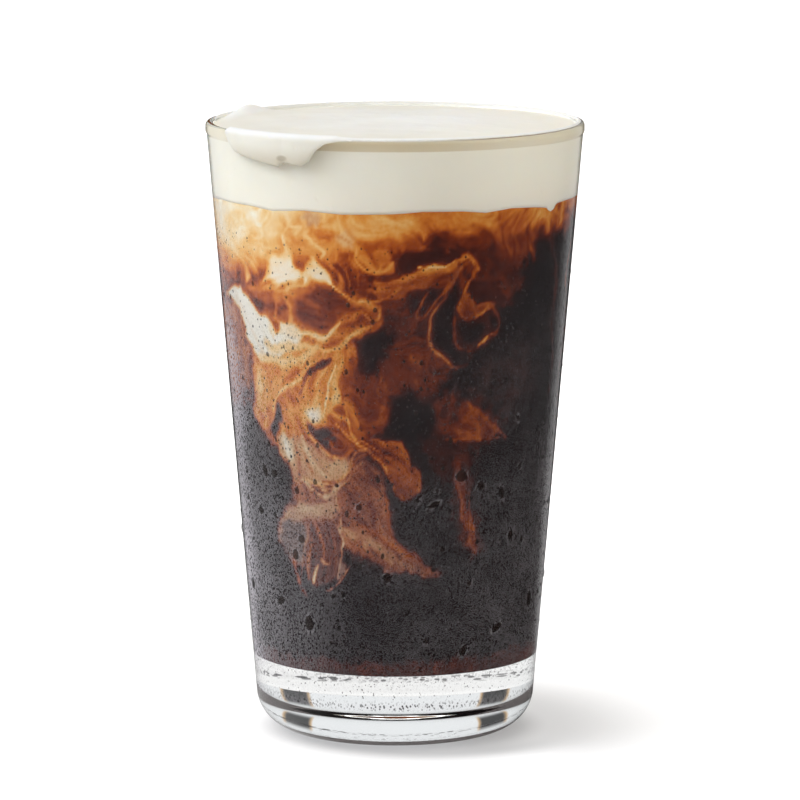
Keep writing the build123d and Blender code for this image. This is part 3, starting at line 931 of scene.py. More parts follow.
def lay_ribbons(m):
    """The ribbons that cross from the plume to the right."""
    m.stream([(-42, 80.6, 0.7), (-38, 78.2, 1.1), (-35, 75.2, 1.2), (-32.2, 72.2, 1.1), (-28.4, 70.2, 1.0),
        (-23, 69, 0.9), (-18, 68.8, 0.9), (-13, 70, 0.7)], (0.64, 0.64, 0.6, 0.56, 0.52), soft=(0.7, 0.7))
    m.stream([(-36.8, 79.4, 0.25), (-34.2, 75.4, 0.35), (-31.6, 71.9, 0.35), (-27.4, 69.8, 0.32),
        (-22, 68.6, 0.25)], 0.74)
    m.patch([(-33.4, 75.2), (-30, 74.4), (-25, 74.2), (-20, 73.6), (-17, 72.4), (-19.6, 71), (-24, 70.6),
        (-28, 71.4), (-31.4, 73)], 0.26, 0.1, reach=1.0, soft=0.5, cool=0.4)
    m.patch([(-24, 72.4), (-18.6, 72.4), (-14, 71.4), (-18, 69.8), (-24, 70)], 0.38, soft=0.6)
    m.stream([(-30.6, 73.6, 0.3), (-26, 72.4, 0.35), (-21.6, 73.4, 0.3)], 0.4, strength=0.7)
    m.patch([(-24, 79), (-19.6, 80), (-15.4, 77.6), (-11, 74), (-7, 72.6), (-2, 71.6), (1.4, 71), (4, 68.4),
        (6, 66), (9.4, 65), (10.6, 62.6), (9, 60.4), (5.6, 58.6), (2.4, 58.4), (0.2, 60), (-2, 63.4),
        (-6, 66.6), (-11, 69), (-17, 71.8), (-24, 75.4)], 0.46, 0.42, soft=0.6, grain=-32)
    m.stream([(-23, 78, 1.2), (-18, 76, 1.4), (-13, 73.3, 1.3), (-8, 70.8, 1.2), (-3, 68.2, 1.3),
        (1, 66, 1.7), (5, 63.6, 1.7), (7.6, 61.4, 1.2)], (0.6, 0.5, 0.46, 0.46, 0.48, 0.5, 0.44),
        soft=(0.9, 0.9))
    m.stream([(-19, 80.4, 0.7), (-15, 77.4, 0.8), (-10.6, 73.8, 0.7), (-6, 72, 0.7), (-2, 71.2, 0.9),
        (1, 70.4, 1.1), (3.4, 68.6, 1.1), (5.2, 66.4, 0.8)], (0.56, 0.5, 0.5, 0.52, 0.5), soft=(0.35, 0.9))
    m.stream([(5, 66, 0.5), (8, 65, 0.6), (9.8, 63.2, 0.6), (8.6, 60.6, 0.4)], 0.5, soft=(0.5, 0.9))
    m.patch([(-9.6, 72), (-5, 70.4), (-1.6, 69.4), (-4, 68.8), (-8, 70)], 0.34, soft=0.45)
    m.patch([(-19, 76.4), (-16, 76), (-13.6, 73.8), (-17, 74)], 0.4, soft=0.5)
    m.stream([(-21, 75.8, 0.22), (-16, 73.2, 0.3), (-11, 70.4, 0.32), (-6, 67.6, 0.3), (-3, 64.9, 0.28),
        (-1, 61.8, 0.26), (0.7, 59.5, 0.2)], (0.66, 0.72, 0.68, 0.6, 0.54))
    m.stream([(-18.8, 79.6, 0.22), (-16.4, 76, 0.3), (-13, 73, 0.3), (-8.4, 70.6, 0.3), (-4.6, 69.4, 0.22)],
        0.66)
    m.glow(0.8, 0.72)
    m.glow(2.0, 0.45)


def lay_veils(m):
    """The chalky veils and the brown disc below."""
    m.patch([(-41, 71), (-34, 70.8), (-27, 69.2), (-20, 68.2), (-15.4, 67.6), (-18, 64.6), (-21.4, 62),
        (-28, 61.2), (-34, 61), (-38, 60), (-40.8, 62), (-41.4, 66)], 0.62, 0.66, soft=0.7, cool=0.45,
        grain=-50)
    m.patch([(-46.4, 71), (-43, 72.2), (-40, 71.4), (-38.6, 69.5), (-38.2, 67), (-39.6, 65.2), (-41.8, 65),
        (-44.6, 66.2), (-46.4, 68.2)], 0.72, 0.84, soft=0.9, cool=0.5, grain=-75)
    m.stream([(-39.2, 72, 0.7), (-38, 68, 0.8), (-37, 64, 1.2), (-36.4, 60.4, 1.2)], 0.5, cool=0.3,
        soft=(1, 1))
    m.stream([(-35, 71.8, 0.7), (-33, 68, 0.8), (-29, 65, 0.9), (-24, 63.6, 0.7)], 0.78, cool=0.45,
        soft=(1, 1))
    m.stream([(-36.4, 70, 0.4), (-34.6, 66.4, 0.5), (-31, 63.6, 0.5)], 0.48, cool=0.2, strength=0.7)
    m.stream([(-32.6, 72, 0.3), (-30.4, 69.6, 0.4), (-26, 67.6, 0.4)], 0.5, cool=0.2, strength=0.7)
    m.stream([(-31, 69.8, 0.3), (-28.4, 67.2, 0.4), (-24.6, 66.2, 0.4), (-21, 67, 0.3)], 0.62, cool=0.35,
        strength=0.8)
    m.stream([(-33.4, 64.6, 0.5), (-30, 62.6, 0.8), (-25, 63, 0.6)], 0.6, cool=0.35, strength=0.7,
        soft=(1, 1))
    m.patch([(-42.4, 61), (-36, 61), (-31, 58.8), (-26, 57.4), (-33, 56.4), (-40, 56.6)], 0.5, 0.46,
        cool=0.3, soft=0.7)
    m.patch([(-43, 57), (-37, 56.2), (-30, 57.8), (-24, 60.4), (-20.6, 62.4), (-21.4, 58), (-21.6, 55),
        (-25, 53.6), (-30, 53.4), (-36, 52.4), (-40, 51), (-44, 48.6), (-48, 46), (-51.4, 47.4),
        (-49.6, 51), (-46, 54.4)], 0.58, 0.66, soft=0.8, cool=0.55, grain=15)
    m.stream([(-36.4, 61.6, 0.5), (-31, 59.4, 0.8), (-26, 58.8, 0.8), (-22, 60.6, 0.6)], 0.8, cool=0.5,
        soft=(0.9, 0.9))
    m.stream([(-37.4, 57.4, 0.5), (-31, 57.2, 0.5), (-26, 57.8, 0.3)], 0.48, cool=0.3)
    m.stream([(-9, 70, 0.4), (-13.6, 69, 0.5), (-17, 66.4, 0.55), (-19.6, 64.2, 0.5), (-24, 62, 0.6),
        (-30, 61.3, 0.6), (-34, 61.8, 0.4)], (0.56, 0.62, 0.68, 0.7, 0.72), cool=0.2, soft=(0.5, 0.5))
    m.stream([(-10, 68.6, 0.4), (-14.6, 67, 0.45), (-18, 64.4, 0.4), (-22, 62.6, 0.3), (-27, 62.2, 0.3)],
        0.46, cool=0.15)
    m.stream([(-10, 67.4, 0.3), (-14.6, 65.6, 0.4), (-18.6, 63.2, 0.42), (-22.6, 61, 0.5),
        (-28, 60.2, 0.5)], (0.52, 0.6, 0.72, 0.8), cool=0.35)
    # the brown disc and the skirt that sweeps from it
    m.patch([(-20.2, 61), (-17, 64), (-12, 65.6), (-7, 65.4), (-3.8, 63), (-3, 58), (-2, 53.6), (0, 50.4),
        (4, 47.6), (8, 45.6), (12, 43.6), (19, 42), (14, 40.8), (6, 41.6), (-2, 41.8), (-7, 43.6),
        (-12, 45.6), (-17, 46.6), (-20, 49), (-21.4, 53), (-21.4, 58)], 0.47, 0.43, reach=3.0, soft=0.8,
        cool=0.25, grain=-55)
    m.stream([(-20.4, 52, 1.2), (-15, 50.6, 2.2), (-9, 48.4, 2.4), (-3, 46, 2.1), (3, 43.8, 1.6),
        (9, 42, 1.0), (14, 41, 0.6), (20, 41.6, 0.3)], (0.68, 0.64, 0.58, 0.54, 0.46, 0.4), cool=0.4,
        soft=(0.9, 0.7))
    m.stream([(-13.6, 52.6, 0.7), (-7, 50.2, 1.2), (-2, 48.4, 1.2), (3, 46.4, 1.0), (9, 44.2, 0.7),
        (14, 43, 0.4)], (0.46, 0.5, 0.5, 0.46, 0.4), soft=(0.9, 0.9))
    m.stream([(-4, 60, 0.5), (-3.2, 55, 0.6), (-1.6, 51, 0.6), (3, 47.6, 0.5), (8.6, 45, 0.4)], 0.42,
        soft=(0.5, 0.9))
    m.stream([(-9.4, 58, 0.9), (-8.4, 55, 1.1), (-8, 52.6, 0.7)], 0.24, strength=0.8, soft=(1, 1))
    m.stream([(-16, 61.6, 0.8), (-14.4, 57, 1.0), (-15, 53, 1.0)], 0.44, cool=0.2, strength=0.8,
        soft=(1, 1))
    m.stream([(-21.6, 62.4, 0.3), (-22, 58.4, 0.38), (-21, 55, 0.38), (-20.2, 52.6, 0.3)], 0.7, cool=0.45)
    # the loop at the bottom
    m.patch([(-50.8, 48), (-47, 51), (-42, 52.4), (-36, 51.4), (-34, 48), (-36, 45), (-40, 42.6), (-44, 43),
        (-48, 45)], 0.46, 0.42, soft=0.8, cool=0.9)
    m.patch([(-35, 52), (-28, 53.2), (-23.4, 52), (-21, 49), (-22, 44), (-23.4, 40.6), (-28, 38), (-33, 38),
        (-36, 41), (-36.4, 47)], 0.4, 0.34, soft=0.7, cool=0.3, grain=-80)
    m.stream([(-31, 52.6, 0.5), (-29.6, 50, 0.8), (-28.8, 47, 0.8), (-28.2, 44.6, 0.6)],
        (0.48, 0.54, 0.53, 0.46), soft=(1, 1))
    m.stream([(-24.4, 51, 0.6), (-24, 47.6, 0.7), (-25.4, 44.6, 0.5)], 0.44, strength=0.7, soft=(1, 1))
    m.stream([(-34, 51.8, 0.4), (-35.4, 48.6, 0.5), (-37.4, 45.4, 0.5), (-38.6, 42.4, 0.45),
        (-39.4, 39.8, 0.4)], 0.56, cool=0.5, soft=(1, 1))
    m.stream([(-32.6, 50.4, 0.3), (-34, 46.6, 0.45), (-35.8, 42.8, 0.45), (-36, 39, 0.4)], 0.46, cool=0.2)
    m.stream([(-42.4, 44.4, 0.9), (-42.4, 40.6, 1.3), (-40.4, 37.4, 1.4), (-37, 35.4, 0.9)],
        (0.38, 0.42, 0.4, 0.3), soft=(0.9, 0.9))
    m.stream([(-31.4, 42.4, 0.7), (-32.9, 40.6, 0.95), (-33.6, 38.8, 0.6)], (0.78, 0.92, 0.88), cool=0.3,
        soft=(0.6, 0.6))
    m.stream([(-29.6, 43.8, 0.5), (-27.6, 43.2, 0.6), (-25.6, 43.8, 0.4)], 0.68, cool=0.35, soft=(0.6, 0.6))
    m.patch([(-21.8, 46), (-20.6, 44), (-19, 42.8), (-20, 41), (-22.6, 39.8), (-22.8, 42)], 0.5, soft=0.5,
        cool=0.75)
    m.stream([(-38, 54.2, 0.3), (-33, 55, 0.4), (-28, 54.8, 0.35)], 0.76, cool=0.5, strength=0.7)
    m.stream([(-25.6, 54.4, 0.3), (-22.6, 52.6, 0.42), (-20.6, 50.2, 0.46), (-20.3, 47.6, 0.42),
        (-21.2, 44.6, 0.42), (-22.3, 41.8, 0.36), (-22.8, 40.2, 0.28)], (0.7, 0.84, 0.86, 0.8, 0.84, 0.74),
        cool=0.6, soft=(1, 1))
    m.stream([(-17.8, 42.8, 0.32), (-19.8, 40.8, 0.38), (-23, 38.4, 0.34), (-27, 37, 0.32),
        (-31.4, 37.2, 0.22)], (0.7, 0.68, 0.58), cool=0.6, soft=(1, 1))
    m.glow(0.7, 0.7)
    m.glow(1.8, 0.4)


def lay_foot(m):
    """A breath of red where the coffee meets the thick clear foot."""
    m.patch([(-70, 21.2), (0, 21), (80, 21.2), (80, 15), (-70, 15)], 0.24, soft=1.2)


def billows(across, up, seed):
    """Rolling, folded cloud from about -1 to 1."""
    for size, reach in ((9.0, 3.4), (4.5, 1.6)):
        for turn in range(2):
            du, dv = curl(across, up, size, seed + int(size))
            across, up = across + du * reach / 2, up + dv * reach / 2
    total = np.zeros(across.shape)
    for size, share in ((8.0, 0.55), (3.6, 0.4), (1.7, 0.22), (0.9, 0.12)):
        total += share * soft_noise(across, up, size, seed + int(size * 7))
    return total


def grain_along(flow, bearing, height, seed):
    """Fine lines drawn out along the way the cream ran."""
    rows, columns = bearing.shape
    grain = blur(np.random.RandomState(seed).uniform(-1, 1, bearing.shape), 1.1, 0.8)
    across = bearing * DEGREE + AWAY
    wide, fine = curl(across, height, 6.5, seed + 1), curl(across, height, 2.6, seed + 2)
    du = flow[..., 0] + 0.5 * wide[0] + 0.22 * fine[0]
    dv = flow[..., 1] + 0.5 * wide[1] + 0.22 * fine[1]
    length = np.hypot(du, dv) + 1e-6
    du, dv = du / length * 0.25 / CELL_ACROSS, dv / length * 0.25 / CELL_UP
    total = grain.copy()
    for way in (1, -1):
        y, x = np.mgrid[0:rows, 0:columns].astype(float)
        xi, yi = x.astype(int), y.astype(int)
        for step in range(16):
            x, y = x + way * du[yi, xi], y + way * dv[yi, xi]
            xi, yi = np.rint(x).astype(int) % columns, np.clip(np.rint(y).astype(int), 0, rows - 1)
            total += grain[yi, xi]
    return total / total.std()


WARM = (
    (0.0, srgb(17, 10, 11)),
    (0.12, srgb(34, 14, 13)),
    (0.25, srgb(72, 27, 18)),
    (0.36, srgb(120, 47, 19)),
    (0.47, srgb(170, 82, 28)),
    (0.57, srgb(203, 117, 42)),
    (0.67, srgb(219, 151, 70)),
    (0.78, srgb(229, 184, 116)),
    (0.88, srgb(234, 208, 160)),
    (0.97, srgb(236, 230, 212)),
)
CHALK = (
    (0.0, srgb(20, 17, 19)),
    (0.3, srgb(70, 60, 60)),
    (0.5, srgb(122, 108, 102)),
    (0.7, srgb(170, 156, 144)),
    (0.85, srgb(204, 196, 184)),
    (0.97, srgb(226, 228, 222)),
)


def marble(columns, rows):
    """Cream and chalkiness all round the coffee, by bearing and by height."""
    bearing, height = np.meshgrid(
        (np.arange(columns) + 0.5) / columns * 360 - 180, FIELD_LOW + np.arange(rows) / rows * FIELD_SPAN
    )
    cream, cool = np.zeros(bearing.shape), np.zeros(bearing.shape)
    flow = np.zeros(bearing.shape + (2,))
    swap = smooth((np.abs(bearing) - 84 + 6 * soft_noise(bearing + 400, height, 12.0, 9)) / 16)
    for shift, flip, lift, stir, share in ((0, 1, 0, 1.0, 1 - swap), (172, -1, 4, 2.4, swap)):
        used = share.max(axis=0) > 0
        half = Marbling(bearing[:, used], height[:, used] + lift, shift, flip, stir)
        lay_cream(half)
        cream[:, used] += half.cream * share[:, used]
        cool[:, used] += half.cool * share[:, used]
        flow[:, used] += half.flow * share[:, used, None]
    lines = grain_along(flow, bearing, height, 21)
    lift = np.clip(cream * 2.2, 0, 1) * np.clip((1.08 - cream) * 3.0, 0.15, 1)
    cream = cream + (0.042 * lines + 0.07 * billows(bearing * DEGREE + AWAY, height, 31)) * lift
    return cream, cool


class COLDBREW_OT_coffee(bpy.types.Operator):
    """Model the coffee and lay the cream into its skin"""

    bl_idname = "coldbrew.coffee"
    bl_label = "Make the coffee"

    def execute(self, context):
        t = context.scene.cold_brew_tumbler
        d = context.scene.cold_brew_drink
        columns, rows = 460, 200
        floor = t.floor_height - d.into_wall
        edge = wall_inner(t.floor_height) + d.into_wall
        corner = t.corner_radius * 0.8
        rings = [(edge * 0.3, floor), (edge * 0.6, floor), (edge - corner, floor)]
        for k in range(1, 8):
            turn = math.pi / 2 * k / 8
            rings.append((edge - corner + corner * math.sin(turn), floor + corner - corner * math.cos(turn)))
        wall_from = floor + corner
        for k in range(rows + 1):
            z = wall_from + (d.layer_height - wall_from) * k / rows
            rings.append((wall_inner(z) + d.into_wall, z))
        piece = lathe("cold_brew_coffee", rings, columns)
        self.shape(piece, wall_from, d, columns)
        self.paint(piece)
        finish_piece(piece, "coffee", self.material())
        return {"FINISHED"}

    def shape(self, piece, wall_from, d, columns):
        """Crowds the columns to the front and lifts the top to the foam's wavy edge."""
        co = vertices_of(piece)
        bearing = bearing_of(co)
        radius = np.hypot(co[:, 0], co[:, 1])
        crowded = bearing - 0.42 * np.sin(bearing)
        level = np.array([layer_level(b) for b in crowded])
        share = np.clip((co[:, 2] - wall_from) / (d.layer_height - wall_from), 0, 1)
        brink = (share > 0.9999) * MM
        z = co[:, 2] + share * (level - d.layer_height) + 0.4 * brink
        radius = radius - 0.12 * brink
        move_vertices(piece, np.stack([radius * np.sin(crowded), -radius * np.cos(crowded), z], -1))

    def paint(self, piece):
        """Works out how much cream shows at every point."""
        co = vertices_of(piece) / MM
        x = (np.degrees(bearing_of(co)) + 180) / 360 * FIELD_COLUMNS - 0.5
        y = np.clip((co[:, 2] - FIELD_LOW) / FIELD_SPAN * FIELD_ROWS, 0, FIELD_ROWS - 1.001)
        x0, y0 = np.floor(x).astype(int), np.floor(y).astype(int)
        fx, fy = x - x0, y - y0
        left, right = x0 % FIELD_COLUMNS, (x0 + 1) % FIELD_COLUMNS
        for name, field in zip(("cream", "cool"), marble(FIELD_COLUMNS, FIELD_ROWS)):
            below = field[y0, left] * (1 - fx) * (1 - fy) + field[y0, right] * fx * (1 - fy)
            value = below + field[y0 + 1, left] * (1 - fx) * fy + field[y0 + 1, right] * fx * fy
            write_attribute(piece, name, value)

    def material(self):
        material, book = new_material("marbled_coffee")
        place = book.place()
        cream = book.attribute("cream")
        cool = book.attribute("cool")
        fine = book.noise(book.stretch(place, (1, 1, 0.6)), 900.0, 3.0, 0.6, 0.4) - 0.5
        wisps = book.noise(book.stretch(place, (1, 1, 0.45)), 260.0, 4.0, 0.62, 1.2) - 0.5
        lively = (cream * 2.4).clamp() * ((1.05 - cream) * 3.0).clamp()
        tone = cream + (wisps * 0.16 + fine * 0.07) * lively
        warm = book.add_wire("ShaderNodeValToRGB", {"stops": WARM}, {"Fac": tone})
        chalk = book.add_wire("ShaderNodeValToRGB", {"stops": CHALK}, {"Fac": tone})
        colour = book.mix(cool, warm, chalk)
        rise = book.axes(place)[2]
        # Painted light: the coffee's underside is painted pale grey instead of coffee colour, standing in for
        # the brightness seen through the thick foot.
        under = 1.0 - rise.step(COFFEE_LOW[2] - 0.1 * MM, COFFEE_LOW[2] + 0.1 * MM)
        colour = book.mix(under * 0.7, colour, srgb(176, 168, 166))
        skin = book.add_wire(
            "ShaderNodeBsdfPrincipled",
            {},
            {"Base Color": colour, "Roughness": 0.5, "Specular IOR Level": 0.0, "IOR": 1.33},
        )
        book.surface(skin)
        return material


# --- cold foam ---------------------------------------------------------------

FOAM_RINGS = (60, 18, 12, 22)  # on top, over the rim, back under it, and down the wall

SPILL = (  # bearing, hang below the rim and stand-off from the wall, in millimetres
    (-180, 0.42, -0.3), (-104, 0.42, -0.3), (-92, 0.0, -0.1), (-66, 0.0, 0.0), (-61.5, 0.4, 0.25),
    (-59, 2.6, 0.6), (-56, 4.4, 0.8), (-50, 5.4, 1.0), (-44, 6.0, 1.1),
    (-39, 6.6, 1.2), (-36.8, 6.8, 1.1), (-34.8, 5.6, 0.8), (-31.5, 6.1, 1.0), (-28.6, 6.3, 1.0),
    (-26, 5.1, 0.9), (-24.2, 2.8, 0.75), (-21, 1.1, 0.6), (-17, 0.5, 0.25), (-11, 0.42, -0.2),
    (180, 0.42, -0.3),
)


class COLDBREW_OT_foam(bpy.types.Operator):
    """Model the cap of foam, its ridge and the part that ran over the rim"""

    bl_idname = "coldbrew.foam"
    bl_label = "Make the foam"

    def execute(self, context):
        t = context.scene.cold_brew_tumbler
        d = context.scene.cold_brew_drink
        above, spacing = 150 * MM, 0.1 * MM  # where the rings start, so that a height tells which is which
        rings = [(0.6 * MM + 0.3 * MM * k, above - spacing * k) for k in range(sum(FOAM_RINGS))]
        piece = lathe("cold_foam", rings, 420)
        co = vertices_of(piece)
        ring = np.rint((above - co[:, 2]) / spacing).astype(int)
        points = [self.point(k, b, t, d) for k, b in zip(ring, bearing_of(co))]
        move_vertices(piece, np.array(points))
        pick(piece)
        bpy.ops.object.mode_set(mode="EDIT")
        bpy.ops.mesh.select_all(action="SELECT")
        bpy.ops.mesh.normals_make_consistent(inside=False)
        bpy.ops.object.mode_set(mode="OBJECT")
        finish_piece(piece, "foam", self.material())
        return {"FINISHED"}

    def relief(self, x, y, height):
        """Soft lumps, dimples and the ridge on top of the foam."""
        r = math.hypot(x, y) / MM
        bearing = math.degrees(math.atan2(x, -y))
        lumps = 0.16 * noise.noise(Vector((x / MM / 9, y / MM / 9, 3.1)))
        lumps += 0.07 * noise.noise(Vector((x / MM / 3.1, y / MM / 3.1, 8.4)))
        lumps *= min(1.0, max(0.0, (40.4 - r) / 6))
        ridge = 2.3 * math.exp(-(((bearing + 121) / 9.5) ** 2)) * math.exp(-(((r - 39.4) / 2.3) ** 2))
        ridge += 0.7 * math.exp(-(((bearing + 106) / 9) ** 2)) * math.exp(-(((r - 38.6) / 1.8) ** 2))
        swell = 0.55 * math.exp(-(((bearing + 42) / 22) ** 2)) * math.exp(-(((r - 39) / 4.0) ** 2))
        return height + (lumps + ridge + swell) * MM

    def point(self, k, b, t, d):
        """Where the k-th ring of the foam's skin lies at a bearing."""
        top, over, under, wall = FOAM_RINGS
        degrees = math.degrees(b)
        hang = float(np.interp(degrees, [s[0] for s in SPILL], [s[1] for s in SPILL])) * MM
        stand = float(np.interp(degrees, [s[0] for s in SPILL], [s[2] for s in SPILL])) * MM
        spilled = min(1.0, hang / (0.6 * MM))
        brim_r = wall_inner(d.edge_height) + d.into_wall
        brim_z = d.edge_height
        crown_r = t.rim_radius - 1.05 * MM
        if k < top:
            share = (k / (top - 1)) ** 0.8
            r = brim_r * share
            z = brim_z + d.dome * (1 - share ** 2)
            x, y = r * math.sin(b), -r * math.cos(b)
            edge = max(0.0, 1 - (brim_r - r) / (1.2 * MM))
            drop = 0.08 * MM * edge * edge * (1 - spilled)
            return x, y, self.relief(x, y, z) - drop
        k -= top
        if k < over:
            share = (k + 1) / over
            path = [
                (brim_r, self.relief(brim_r * math.sin(b), -brim_r * math.cos(b), brim_z)),
                (crown_r - 0.2 * MM, t.height + 0.75 * MM),
                (t.rim_radius + 0.55 * stand, t.height + 0.1 * MM),
                (t.rim_radius + stand, t.height - 0.45 * hang),
                (t.rim_radius + 0.86 * stand, t.height - 0.85 * hang),
                (t.rim_radius + 0.2 * stand - 0.2 * MM, t.height - hang),
            ]
            r, z = self.along(path, share)
            r = brim_r + (r - brim_r) * spilled
            z = brim_z + (z - brim_z) * spilled
            x, y = r * math.sin(b), -r * math.cos(b)
            lump = 0.16 * MM * noise.noise(Vector((degrees / 4.0, z / MM / 2.2, 5.0))) * spilled
            return x * (1 + lump / r), y * (1 + lump / r), z
        k -= over
        if k < under:
            share = (k + 1) / under
            path = [
                (t.rim_radius + 0.2 * stand - 0.2 * MM, t.height - hang),
                (t.rim_radius - 0.45 * MM, t.height - 0.6 * hang),
                (t.rim_radius - 0.3 * MM, t.height - min(0.9 * MM, 0.1 * MM + 0.6 * hang)),
                (crown_r, t.height - 0.15 * MM),
                (brim_r, brim_z - 0.3 * MM),
            ]
            r, z = self.along(path, share)
            r = brim_r + (r - brim_r) * spilled
            z = brim_z - 0.3 * MM * share + (z - brim_z + 0.3 * MM * share) * spilled
            return r * math.sin(b), -r * math.cos(b), z
        k -= under
        low = layer_level(b)
        if k < wall - 2:
            share = (k + 1) / (wall - 2)
            z = brim_z - 0.3 * MM + (low - brim_z + 0.3 * MM) * share
            r = wall_inner(z) + d.into_wall
            return r * math.sin(b), -r * math.cos(b), z
        r = (brim_r - 6 * MM) * (1.0 if k == wall - 2 else 0.3)
        z = low - 0.6 * MM if k == wall - 2 else d.layer_height - 0.6 * MM
        return r * math.sin(b), -r * math.cos(b), z

    def along(self, path, share):
        """A point part of the way along a rounded line."""
        line = rounded_path(path, 4)
        gaps = np.hypot(*np.diff(line, axis=0).T)
        run = np.concatenate([[0], np.cumsum(gaps)])
        at = share * run[-1]
        return float(np.interp(at, run, line[:, 0])), float(np.interp(at, run, line[:, 1]))

    def material(self):
        material, book = new_material("cold_foam_froth")
        place = book.place()
        cloud = book.noise(place, 60.0, 3.0, 0.55)
        fine = book.noise(place, 900.0, 2.0, 0.6)
        pits = 1.0 - book.cells(place, 420.0).step(0.05, 0.3)
        pits = pits * book.noise(place, 150.0, 1.0, 0.5).step(0.52, 0.66)
        x, y, z = book.axes(place)
        reach = (x * x + y * y) ** 0.5
        # Partly painted shade: the foam's side gets a darker, warmer colour than its top, standing in partly
        # for the shade on the side.
        upper = z.step(139.2 * MM, 140.4 * MM)
        top = book.mix(cloud.step(0.3, 0.7), srgb(242, 240, 235), srgb(246, 245, 241))
        side = book.mix(cloud.step(0.3, 0.7), srgb(233, 228, 214), srgb(237, 232, 218))
        # Painted shade: a tan band on the foam's side just under the rim, strongest in front, stands in for
        # the shade seen through the glass's lip.
        inside = (1.0 - reach.step(41.6 * MM, 42.2 * MM)) * reach.step(39.6 * MM, 40.1 * MM)
        band = z.step(137.3 * MM, 137.8 * MM) * (1.0 - z.step(138.9 * MM, 139.4 * MM)) * inside
        turn = x / reach
        # Painted light: the foam's side is painted paler toward the right, brightening the side that the
        # lamps leave in shade.
        side = book.mix(turn.step(0.1, 0.7), side, srgb(246, 240, 225))
        middle = turn.step(-0.75, -0.35) * (1.0 - turn.step(0.1, 0.75))
        side = book.mix(band * (middle * 0.45 + 0.45), side, srgb(208, 194, 164))
        colour = book.mix(upper, side, top)
        # Painted shade: a thin brown line just under the foam's lip at the crown, stronger to the right,
        # stands in for the shadow where the foam meets the glass.
        lip_shade_line = reach.step(41.9 * MM, 42.2 * MM) * (1.0 - reach.step(42.7 * MM, 42.9 * MM))
        lip_shade_line = lip_shade_line * (1.0 - z.step(139.6 * MM, 139.85 * MM)) * (turn.step(0.15, 0.6) * 0.8 + 0.15)
        colour = book.mix(lip_shade_line, colour, srgb(140, 100, 74))
        # Painted shade: the foam that ran over the rim darkens toward its lower edge, standing in for the
        # shade under the overhang.
        outside = reach.step(42.95 * MM, 43.15 * MM) * (1.0 - z.step(133.9 * MM, 138.4 * MM))
        colour = book.mix(outside * 0.9, colour, srgb(208, 200, 182))
        # Painted shade: a small darker oval on the spill stands in for the shading in a dimple.
        across, down = (x + 25.1 * MM) / (1.25 * MM), (z - 135.3 * MM) / (0.75 * MM)
        dimple_shade = (1.0 - (across * across + down * down).step(0.15, 1.3)) * reach.step(43.0 * MM, 43.2 * MM)
        colour = book.mix(dimple_shade * 0.75, colour, srgb(178, 168, 146))
        bump = book.add_wire(
            "ShaderNodeBump", {}, {"Strength": 0.35, "Distance": 0.0003, "Height": fine * 0.3 - pits * 0.8}
        )
        froth = book.add_wire(
            "ShaderNodeBsdfPrincipled",
            {},
            {
                "Base Color": colour,
                "Roughness": 0.55,
                "Subsurface Weight": 0.35,
                "Subsurface Radius": (1.0, 0.8, 0.55),
                "Subsurface Scale": 0.003,
                "IOR": 1.33,
                "Normal": bump,
            },
        )
        book.surface(froth)
        return material


# --- condensation ------------------------------------------------------------


# bearing, height, half width, half height and slant of the drops that have run together
DROPS = (
    (-53.4, 63, 0.8, 1.65, 14), (-58, 53.5, 0.75, 1.2, 10), (-49, 53, 0.5, 0.85, 20), (-71, 35, 0.9, 1.4, 0),
    (-35, 29, 1.2, 1.9, 0), (-22, 28.6, 0.5, 0.6, 0), (-3, 40.8, 1.05, 1.1, 0), (-13, 43.2, 0.6, 0.6, 0),
    (-13, 56.8, 0.75, 0.8, 0), (24, 63.6, 1.4, 1.4, 0), (32, 61, 1.1, 1.1, 0), (14, 57.4, 0.6, 1.6, -62),
    (8, 58.6, 0.6, 0.7, 0), (15, 60.4, 0.5, 0.6, 0), (43, 27.5, 0.9, 1.6, -58), (27.4, 23, 0.9, 1.3, -30),
    (50, 64.2, 0.65, 0.9, 0), (-36.6, 48.4, 0.95, 1.0, 0), (-39.8, 44.6, 0.9, 1.3, 0),
    (-29.4, 62, 0.55, 0.7, 0),
    (-21, 61.6, 0.5, 0.5, 0), (17.6, 47, 0.7, 0.8, 0), (65, 89.4, 0.4, 0.55, 0), (-67, 61.6, 0.5, 0.6, 0),
    (60, 67.5, 0.45, 0.7, 0), (-46, 70.6, 0.35, 0.6, 10), (74, 33, 0.5, 0.9, 0), (5, 33, 0.4, 0.5, 0),
    (-50, 69.5, 0.5, 0.9, 18), (29, 38.7, 0.6, 0.7, 0), (-24, 36, 0.5, 0.6, 0), (12, 26, 0.6, 0.8, 0),
)


def all_drops():
    """The drops in front, and more like them round the other sides."""
    drops = list(DROPS)
    for turn in (95, 190, 275):
        for bearing, height, *shape in DROPS[::2]:
            aside, lift = 9 * math.sin(bearing), 6 * math.sin(bearing * 3 + turn)
            drops.append((bearing + turn + aside, height + lift, *shape))
    return drops


